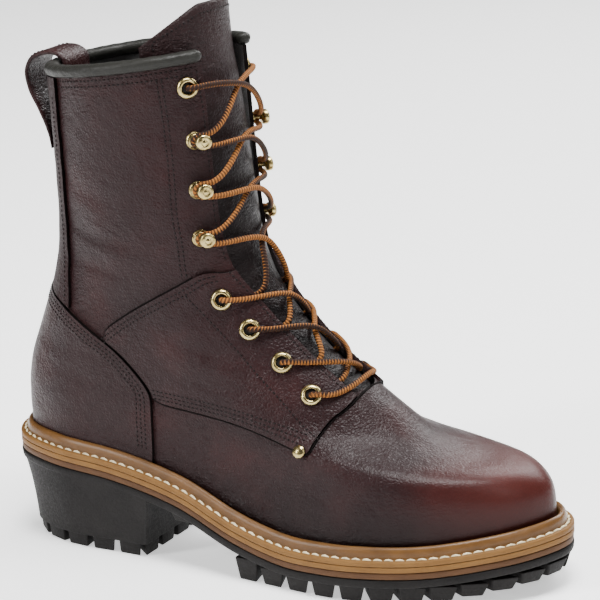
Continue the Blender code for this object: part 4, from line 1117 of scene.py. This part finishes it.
def build_tongue():
    outer, inner = tongue_surface()
    *shape, kinds = sheet(outer, inner, whole, False)
    piece("tongue_leather", shape, "tongue lining tongue", "leather", "tongue", merge=TINY, face_slots=kinds)
    normals = grid_normals(outer, False)
    blocks = []
    for across in (TONGUE_SEAM, -1 - TONGUE_SEAM):
        blocks += stitches(outer[40:-2, across], normals[40:-2, across])
    top = np.s_[-3, TONGUE_SEAM:-TONGUE_SEAM]
    thread_piece("tongue_stitches", blocks + stitches(outer[top], normals[top]))


# Sole

SOLE_STATIONS = 150
WELT_SPANS = 24
WELT_BEAD_START = 11
WELT_STITCH = {"height": 0.0004, "pitch": 0.0056, "radius": 0.00074, "fill": 0.90, "lean": 0.18}
FOREFOOT_START = 0.47
LUG_TAPER = 0.26
WAIST_LUG = (0.352, 0.390)
WAIST_LUG_DEPTH = 0.0018
LUG_INSET = 0.0008
SINK = 0.0016
BOTH_ENDS = np.array([-0.5, 0.5])


def layer(levels):
    """A layer of the sole through (inset, height function) levels from its underside to its top."""
    rings = []
    share = (1 - np.cos(np.linspace(0, math.pi, SOLE_STATIONS))) / 2
    for inset, height in levels:
        outer, inner = sole_sides(inset)
        x = outer[0, 0] + (outer[-1, 0] - outer[0, 0]) * share
        y = np.append(np.interp(x, *outer.T), np.interp(x, *inner.T)[-2:0:-1])
        x = np.append(x, x[-2:0:-1])
        rings.append(np.column_stack([x, y, height(x)]))
    points, faces = loft(rings, ends=False)
    count = len(rings[0])
    last = len(points) - count
    for i in range(SOLE_STATIONS - 1):
        corners = [i, i + 1, (count - i - 1) % count, (count - i) % count]
        cell = [k for n, k in enumerate(corners) if k not in corners[:n]]
        faces += [cell[::-1], [last + k for k in cell]]
    return points, faces


def raised(base, height):
    return lambda x: base(x) + height


def rounded_levels(base, thickness, inset, radius):
    """Levels of a flat layer whose edge is rounded below and above."""
    half = [(0.010, 0.0), (radius, 0.0), (0.3 * radius, 0.3 * radius), (0.0, radius)]
    spots = half + [(away, thickness - up) for away, up in reversed(half)]
    return [(inset + away, raised(base, up)) for away, up in spots]


def build_layers():
    slip = layer(rounded_levels(slip_base, SLIP_THICKNESS, 0.0003, 0.0006))
    piece("slip_layer", slip, "slip", "slip_leather", "slip_sole", merge=TINY)
    midsole = layer(rounded_levels(midsole_base, MIDSOLE_THICKNESS, 0.0, 0.0002))
    piece("midsole_layer", midsole, "tan", "tan_leather", "midsole", merge=TINY)


def build_welt():
    """The welt's flat edge with its groove, the raised bead against the upper, and the stitches."""
    inner = FEATHER_INSET - WELT_GAP
    flat = WELT_THICKNESS
    profile = [(inner, 0.0), (0.0002, 0.0), (0.0, 0.0002), (0.0, 0.0010), (0.0, flat - 0.0008),
               (0.0002, flat - 0.0003), (0.0007, flat), (0.0016, flat + 0.0001), (0.0022, flat - 0.0002),
               (0.0027, flat - 0.0006), (0.0033, flat - 0.0003), (WELT_SHELF, flat + 0.0002)]
    for turn in np.linspace(0.06, 0.88, 9) * math.pi:
        profile.append((inner - BEAD_WIDTH / 2 * (1 + math.cos(turn)), flat + BEAD_HEIGHT * math.sin(turn) ** 0.7))
    profile.append((inner, flat + 0.001))
    base = welt_base(sole_edge(0, WELT_SPANS)[:, 0])
    lines = [np.column_stack([sole_edge(inset, WELT_SPANS), base + height]) for inset, height in profile]
    sections = list(np.array(lines).transpose(1, 0, 2))
    on_bead = [int(j >= WELT_BEAD_START) for _ in sections for j in range(len(profile))]
    shape = loft(sections + sections[:1], ends=False)
    piece("welt_strip", shape, "tan bead", "tan_leather", "storm_welt", merge=TINY, face_slots=on_bead)
    line = np.column_stack([sole_edge(0.0026, WELT_SPANS), base + flat - 0.0002])
    line = np.vstack([line, line[:1]])
    up = np.tile([0.0, 0.0, 1.0], (len(line), 1))
    piece("welt_stitches", joined(stitches(line, up, **WELT_STITCH)), "thread", "lace")


def rubber_base(x):
    return rubber_top(x) - RUBBER_BASE


def ground(x):
    share = curve(column(RUBBER_TOP, "x"), column(RUBBER_TOP, "spring"), np.asarray(x) / SOLE_LENGTH)
    return TOE_SPRING * np.maximum(share, 0.0)


def lug(outer, inner, bottom, top, taper=LUG_TAPER):
    """A block between its outer and its inner end, narrower at the bottom."""
    corners = np.array([outer[0], outer[1], inner[1], inner[0]])
    centre = corners.mean(0)
    low = centre + (corners - centre) * (1 - taper)
    return loft([np.column_stack([low, [bottom] * 4]), np.column_stack([corners, [top] * 4])])


def forefoot_line(inset):
    outer, inner = sole_sides(inset)
    start = FOREFOOT_START * SOLE_LENGTH
    return np.vstack([outer[outer[:, 0] > start], inner[inner[:, 0] > start][-2::-1]])


def lug_places(line, pitch):
    """The two ends of each lug along a line, as distances along it."""
    length = arc_lengths(line)[-1]
    count = int(length / pitch)
    return [(k + 0.5) * length / count + LUG_LENGTH * BOTH_ENDS for k in range(count)]


def rubber_lugs(name, blocks, bevel):
    obj = mesh_object(name, *joined(blocks), "rubber")
    shape = bmesh.new()
    shape.from_mesh(obj.data)
    bmesh.ops.recalc_face_normals(shape, faces=shape.faces)
    bmesh.ops.bevel(shape, geom=list(shape.edges), offset=bevel, segments=2, profile=0.6, affect="EDGES")
    shape.to_mesh(obj.data)
    shape.free()
    smooth(obj.data, 50)
    finish_piece(obj, slot_name="rubber")


def forefoot_lugs():
    """The lugs round the edge of the forefoot."""
    line, deep = forefoot_line(LUG_INSET), forefoot_line(LUG_INSET + LUG_REACH)
    shrink = arc_lengths(deep)[-1] / arc_lengths(line)[-1]
    for ends in lug_places(line, LUG_PITCH):
        outer = at_lengths(line, ends)
        inner = at_lengths(deep, (ends.mean() + (ends - ends.mean()) * 0.9) * shrink)
        high = float(np.min(rubber_base(np.append(outer[:, 0], inner[:, 0])))) + SINK
        yield lug(outer, inner, float(np.min(ground(outer[:, 0]))), high)


def waist_lug():
    """The one small lug under the waist, on the outer side."""
    ends = np.array(WAIST_LUG) * SOLE_LENGTH
    outer, inner = (np.column_stack([ends, np.interp(ends, *sole_sides(inset)[0].T)])
                    for inset in (WAIST_LUG_DEPTH, LUG_REACH))
    base = float(rubber_base(ends[1]))
    return lug(outer, inner, base - WAIST_LUG_DEPTH, base + RUBBER_BASE - 0.0006)


def middle_blocks():
    """Two rows of blocks inside the edge lugs."""
    line = forefoot_line(LUG_INSET + LUG_REACH + MIDDLE_GAP)
    tip = line[:, 0].argmax()
    outer_side, inner_side = line[:tip + 1], line[tip:][::-1]
    for x in np.arange(line[0, 0] + MIDDLE_BLOCK, line[tip, 0] - MIDDLE_BLOCK, MIDDLE_PITCH):
        ends = x + MIDDLE_BLOCK * BOTH_ENDS
        left = np.max(np.interp(ends, *outer_side.T))
        right = np.min(np.interp(ends, *inner_side.T))
        middle = (left + right) / 2
        low, high = float(ground(ends[0])) + CLEARANCE, float(np.min(rubber_base(ends))) + SINK
        for a, b in ((left, middle - MIDDLE_GAP / 2), (middle + MIDDLE_GAP / 2, right)):
            yield lug(np.column_stack([ends, [a] * 2]), np.column_stack([ends, [b] * 2]), low, high, 0.15)


def build_outsole():
    levels = [(0.012, rubber_base), (0.0016, rubber_base), (0.0006, raised(rubber_base, 0.0003)),
              (0.0003, raised(rubber_base, 0.0010)), (0.0, raised(rubber_top, -0.0012)),
              (0.0003, raised(rubber_top, -0.0003)), (0.0010, rubber_top), (0.012, rubber_top)]
    piece("outsole_plate", layer(levels), "rubber", "rubber", "outsole", merge=TINY)
    rubber_lugs("forefoot_lugs", [*forefoot_lugs(), waist_lug(), *middle_blocks()], 0.0009)


def heel_ring(depth):
    """The heel's outline at a share of its depth, drawn in at the back and a little at the sides."""
    tuck = HEEL_UNDERCUT * depth ** 0.8 * (1.45 - 0.45 * depth)
    outer, inner = sole_sides(HEEL_UNDERCUT * 0.45 * depth)
    start = outer[0, 0]
    breast = HEEL_BREAST + 0.004 * (1 - depth)
    x = start + (breast - start) * (1 - np.cos(np.linspace(0, math.pi / 2, 60)))
    back = x + (tuck - start) * (1 - (x - start) / (breast - start))
    return np.vstack([np.column_stack([back, np.interp(x, *outer.T)]),
                      np.column_stack([back, np.interp(x, *inner.T)])[:0:-1]])


def build_heel():
    rings = []
    for depth in (0.0, 0.02, 0.1, 0.2, 0.35, 0.5, 0.7, 0.85, 0.97, 1.0):
        ring = heel_ring(depth)
        top = rubber_top(ring[:, 0]) - 0.0009
        rings.append(np.column_stack([ring, top + (LUG_DEPTH - top) * depth]))
    piece("heel_block", loft(rings), "rubber", "rubber", "heel", sharp=40)
    ring = heel_ring(1.0)
    middle = np.array([HEEL_BREAST * 0.55, 0.0])
    blocks = []
    for ends in lug_places(ring, LUG_PITCH * 1.08):
        edge = at_lengths(ring, ends)
        outer, inner = (edge + (middle - edge) * share for share in (0.015, 0.42))
        blocks.append(lug(outer, inner, 0.0, LUG_DEPTH + SINK, 0.10))
    rubber_lugs("heel_lugs", blocks, 0.0010)


# Fasteners

def lathe(profile, segments, through=False):
    """A turned shape from (radius, height) points; through leaves its bore open."""
    turn = turns(segments)
    rings = [np.column_stack([radius * np.cos(turn), radius * np.sin(turn), np.full(segments, height)])
             for radius, height in profile]
    return loft(rings + rings[:1], ends=False) if through else loft(rings)


def on_frame(shape, row, reach, height, lean=0.0):
    """A shape stood on the boot's surface."""
    point, normal, up = boot_frame(row, reach)
    points, faces = shape
    points = points + np.outer(points[:, 2] * lean, [1.0, 0.0, 0.0])
    return point + normal * height + points @ np.array([np.cross(up, normal), up, normal]), faces


def fastener_height(name):
    on_quarter = name in ("eyelet_1", "eyelet_2", "eyelet_3", "eyelet_4", "rivet")
    return PANEL_TOP + 0.0001 if on_quarter else 0.0001


# Each profile is a list of rows: a radius, a starting height, then shares of the radius and heights above it.
EYELET_TOP = EYELET_HEIGHT + SEAT
EYELET_ROWS = [
    (EYELET_RADIUS, 0.0, ((0.53, 0.0), (0.96, 0.0), (1.0, 0.0004), (0.96, 0.0010), (0.86, 0.0015))),
    (EYELET_RADIUS, EYELET_TOP, ((0.74, 0.0), (0.62, -0.02 * EYELET_TOP), (0.56, -0.20 * EYELET_TOP),
                                 (0.54, -0.6 * EYELET_TOP))),
]
HOOK_ROWS = [
    (HOOK_BASE_RADIUS, 0.0, ((0.4, 0.0), (1.0, 0.0), (1.0, 0.0005), (0.92, 0.0010), (0.74, 0.0008),
                             (0.66, 0.0012), (0.50, 0.0014))),
    (HOOK_STEM_RADIUS, 0.0, ((1.1, 0.0018), (1.0, 0.0026))),
    (HOOK_STEM_RADIUS, HOOK_HEIGHT, ((1.0, -0.0032), (1.3, -0.0028))),
    (HOOK_HEAD_RADIUS, HOOK_HEIGHT, ((0.93, -0.0027), (1.0, -0.0022), (1.0, -0.0006), (0.94, 0.0), (0.80, 0.0003),
                                     (0.50, 0.0005), (0.44, 0.0003), (0.34, 0.0003), (0.28, 0.0006),
                                     (0.05, 0.0007))),
]
RIVET_ROWS = [
    (RIVET_RADIUS, 0.0, ((0.5, 0.0), (1.0, 0.0), (1.0, 0.0005), (0.86, 0.0011), (0.60, 0.0015), (0.30, 0.0018),
                         (0.05, 0.0019))),
]


def profile_of(rows):
    return [(radius * share, start + up) for radius, start, spots in rows for share, up in spots]


def build_fasteners():
    shapes = {"eyelet": lathe(profile_of(EYELET_ROWS), 40, True), "hook": lathe(profile_of(HOOK_ROWS), 36),
              "rivet": lathe(profile_of(RIVET_ROWS), 36)}
    disc = lathe([(0.56 * EYELET_RADIUS, 0.0), (0.56 * EYELET_RADIUS, 0.0003)], 24)
    for hole in HOLES + [RIVET]:
        kind = hole.name.split("_")[0]
        for side, sign in (("lateral", -1), ("medial", 1)):
            name = f"{hole.name}_{side}"
            place = (hole.ring, sign * hole.reach * THROAT_WIDTH, fastener_height(hole.name))
            shape = on_frame(shapes[kind], *place, -sign * HOOK_LEAN if kind == "hook" else 0.0)
            piece(f"{name}_metal", shape, "brass", "brass", name, merge=TINY, sharp=55)
            # A near-black disc in each eyelet's bore: painted shade inside the hole.
            if kind == "eyelet":
                piece(f"{name}_hole", on_frame(disc, *place), "hole", "leather")


# Lace

LACE_SECTION = 14
LOW, HIGH = -0.0002, 0.0029
UNDER = -0.0024
HOOK_GRIP = 0.0036
BAR_RISE = 0.42


def lace_piece(name, spots, *nodes):
    """A round lace through its spots, with its length in metres and its turn as texture coordinates."""
    knots = np.array([p + n * h for (p, n), h in
                      ((on_boot(row, reach if abs(reach) > 1e-7 else TINY), h) for row, reach, h in spots)])
    line = smooth_line(knots, 14)
    path = resample(line, line, 0.0008)[0]
    tangents = unit(np.gradient(path, axis=0))
    across = np.cross(tangents[0], [0.0, 0.3, 1.0])
    rings = []
    for point, along in zip(path, tangents):
        across = unit(across - along * (across @ along))
        rings.append(round_section(point, LACE_RADIUS, across, np.cross(along, across), LACE_SECTION))
    obj = mesh_object(name, *loft(rings), "lace")
    length = arc_lengths(path)
    layer_uv = obj.data.uv_layers.new(name="UVMap")
    for polygon in obj.data.polygons:
        spots = [obj.data.loops[k].vertex_index for k in polygon.loop_indices]
        last = any(v % LACE_SECTION == LACE_SECTION - 1 for v in spots)
        for k, v in zip(polygon.loop_indices, spots):
            turn = v % LACE_SECTION
            if last and turn == 0:
                turn = LACE_SECTION
            layer_uv.data[k].uv = (length[v // LACE_SECTION], turn / LACE_SECTION)
    finish_piece(obj, *nodes, slot_name="lace")


def through_eyelet(hole, side, ends_inside):
    """Spots where the lace comes over the flap, down the eyelet, and back under the flap to its edge."""
    reach = hole.reach * THROAT_WIDTH
    base = fastener_height(hole.name)
    rim = base + EYELET_TOP + LACE_RADIUS
    half = throat_half(max(hole.ring, THROAT_RING))
    over = [(hole.ring, side * (reach - EYELET_RADIUS - 0.0016), base + LACE_RADIUS + 0.0010),
            (hole.ring, side * (reach - 0.0032), rim - 0.0002),
            (hole.ring, side * (reach - 0.0004), rim - 0.0014),
            (hole.ring, side * reach, base + 0.0002)]
    if ends_inside:
        return over
    lift = 0.10 if hole.name != "eyelet_1" else THROAT_RING + 0.22 - hole.ring
    return over + [(hole.ring + 0.02, side * (reach - 0.0006), UNDER),
                   (hole.ring + lift, side * (half + 0.0010), UNDER),
                   (hole.ring + lift + 0.05, side * (half - 0.0022), UNDER * 0.6)]


def round_hook(hole, side):
    """Spots round a hook's stem: in from below, round the outer side, and out over the top."""
    aside = HOOK_STEM_RADIUS + LACE_RADIUS + 0.0001
    turn = aside / RING_SPACING
    centre = hole.reach * THROAT_WIDTH - HOOK_LEAN * HOOK_GRIP
    return [(hole.ring + rise * turn, side * (centre + away), HOOK_GRIP + lift) for rise, away, lift in (
        (-1.15, -0.0036, -0.0002), (-0.92, 0.0004, 0.0), (0.0, aside, 0.0), (0.92, 0.0004, 0.0),
        (1.05, -0.0040, 0.0002))]


def lace_route(side):
    """Spots (ring, distance from the ridge, height) of one half of the lace, from the bar up."""
    spots = through_eyelet(HOLES[0], side, False)
    for low, high in zip(HOLES, HOLES[1:]):
        over, share = (LOW, 0.86) if side < 0 else (HIGH, 0.80)
        spots.append((low.ring + (high.ring - low.ring) * share, -side * 0.0001, over))
        side = -side
        if high.name.startswith("hook"):
            spots += round_hook(high, side)
        else:
            spots += through_eyelet(high, side, high is HOLES[-1])
    return spots


def build_lace():
    first = HOLES[0]
    near, far = (through_eyelet(first, side, True) for side in (-1, 1))
    bar = near[::-1] + [(first.ring + BAR_RISE, 0.0001, 0.0036)] + far
    lace_piece("lace_bar_round", bar, "lace_bar")
    lace_piece("lace_near", lace_route(-1), *(f"lace_cross_{k}" for k in range(1, len(HOLES))))
    lace_piece("lace_far", lace_route(1))


# Floor, light and camera

AZIMUTH, ELEVATION, ROLL = math.radians(28.28), math.radians(16.22), math.radians(-2.0)
DISTANCE = 1.400
LOOK_AT = np.array([0.150, 0.0, 0.120])
LENS = 163.8
SHIFT = (0.0476, 0.0499)
LIGHT_TARGET = (0.0, 0.0, 0.12)
WORLD_STRENGTH = 0.10
FLOOR_RADIUS = 9.0
LIGHTS = [
    ("top_softbox", (0.25, -0.15, 1.7), (0.8, 0.6), 62.0),
    ("left_softbox", (-0.95, -1.3, 0.9), (0.25, 1.0), 28.0),
    ("right_softbox", (1.5, -0.5, 1.1), (0.5, 0.9), 8.0),
    ("back_softbox", (0.3, 1.7, 1.4), (1.6, 1.0), 60.0),
]


def add_object(name, data):
    obj = bpy.data.objects.new(name, data)
    bpy.context.scene.collection.objects.link(obj)
    return obj


def set_camera():
    back = np.array([math.sin(AZIMUTH) * math.cos(ELEVATION), -math.cos(AZIMUTH) * math.cos(ELEVATION),
                     math.sin(ELEVATION)])
    right = np.array([math.cos(AZIMUTH), math.sin(AZIMUTH), 0.0])
    up = np.cross(back, right)
    turned_right = right * math.cos(ROLL) + up * math.sin(ROLL)
    turned_up = -right * math.sin(ROLL) + up * math.cos(ROLL)
    place = LOOK_AT - ORIGIN + back * DISTANCE
    data = bpy.data.cameras.new("camera")
    data.lens = LENS
    data.sensor_width = 36.0
    data.shift_x, data.shift_y = SHIFT
    data.clip_end = 50.0
    camera = add_object("camera", data)
    camera.matrix_world = Matrix([[*row, p] for row, p in zip(np.stack([turned_right, turned_up, back], 1), place)]
                                 + [[0.0, 0.0, 0.0, 1.0]])
    bpy.context.scene.camera = camera


def set_lights():
    for name, place, size, power in LIGHTS:
        data = bpy.data.lights.new(name, "AREA")
        data.shape = "RECTANGLE"
        data.size, data.size_y = size
        data.energy = power
        light = add_object(name, data)
        light.location = place
        light.rotation_euler = (Vector(LIGHT_TARGET) - Vector(place)).to_track_quat("-Z", "Y").to_euler()
    world = bpy.data.worlds.new("studio")
    world.use_nodes = True
    background = world.node_tree.nodes["Background"].inputs
    background[0].default_value = (1.0, 1.0, 1.0, 1.0)
    background[1].default_value = WORLD_STRENGTH
    bpy.context.scene.world = world


def build_floor():
    shape = bmesh.new()
    bmesh.ops.create_circle(shape, cap_ends=True, segments=64, radius=FLOOR_RADIUS)
    mesh = bpy.data.meshes.new("floor")
    shape.to_mesh(mesh)
    shape.free()
    mesh.materials.append(LOOKS["floor"])
    obj = add_object("floor", mesh)


def dress_cad_nodes():
    """Procedural materials for the CAD nodes that stay in view."""
    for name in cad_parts:
        obj = bpy.data.objects.get(name)
        if obj is not None and obj.type == "MESH":
            obj.data.materials.clear()
            obj.data.materials.append(LOOKS["board"])


build_upper()
build_quarters()
build_counter()
build_backstay()
build_shaft_stitches()
build_binding()
build_loop()
build_tongue()
build_layers()
build_welt()
build_outsole()
build_heel()
build_fasteners()
build_lace()
build_floor()
set_lights()
set_camera()
dress_cad_nodes()
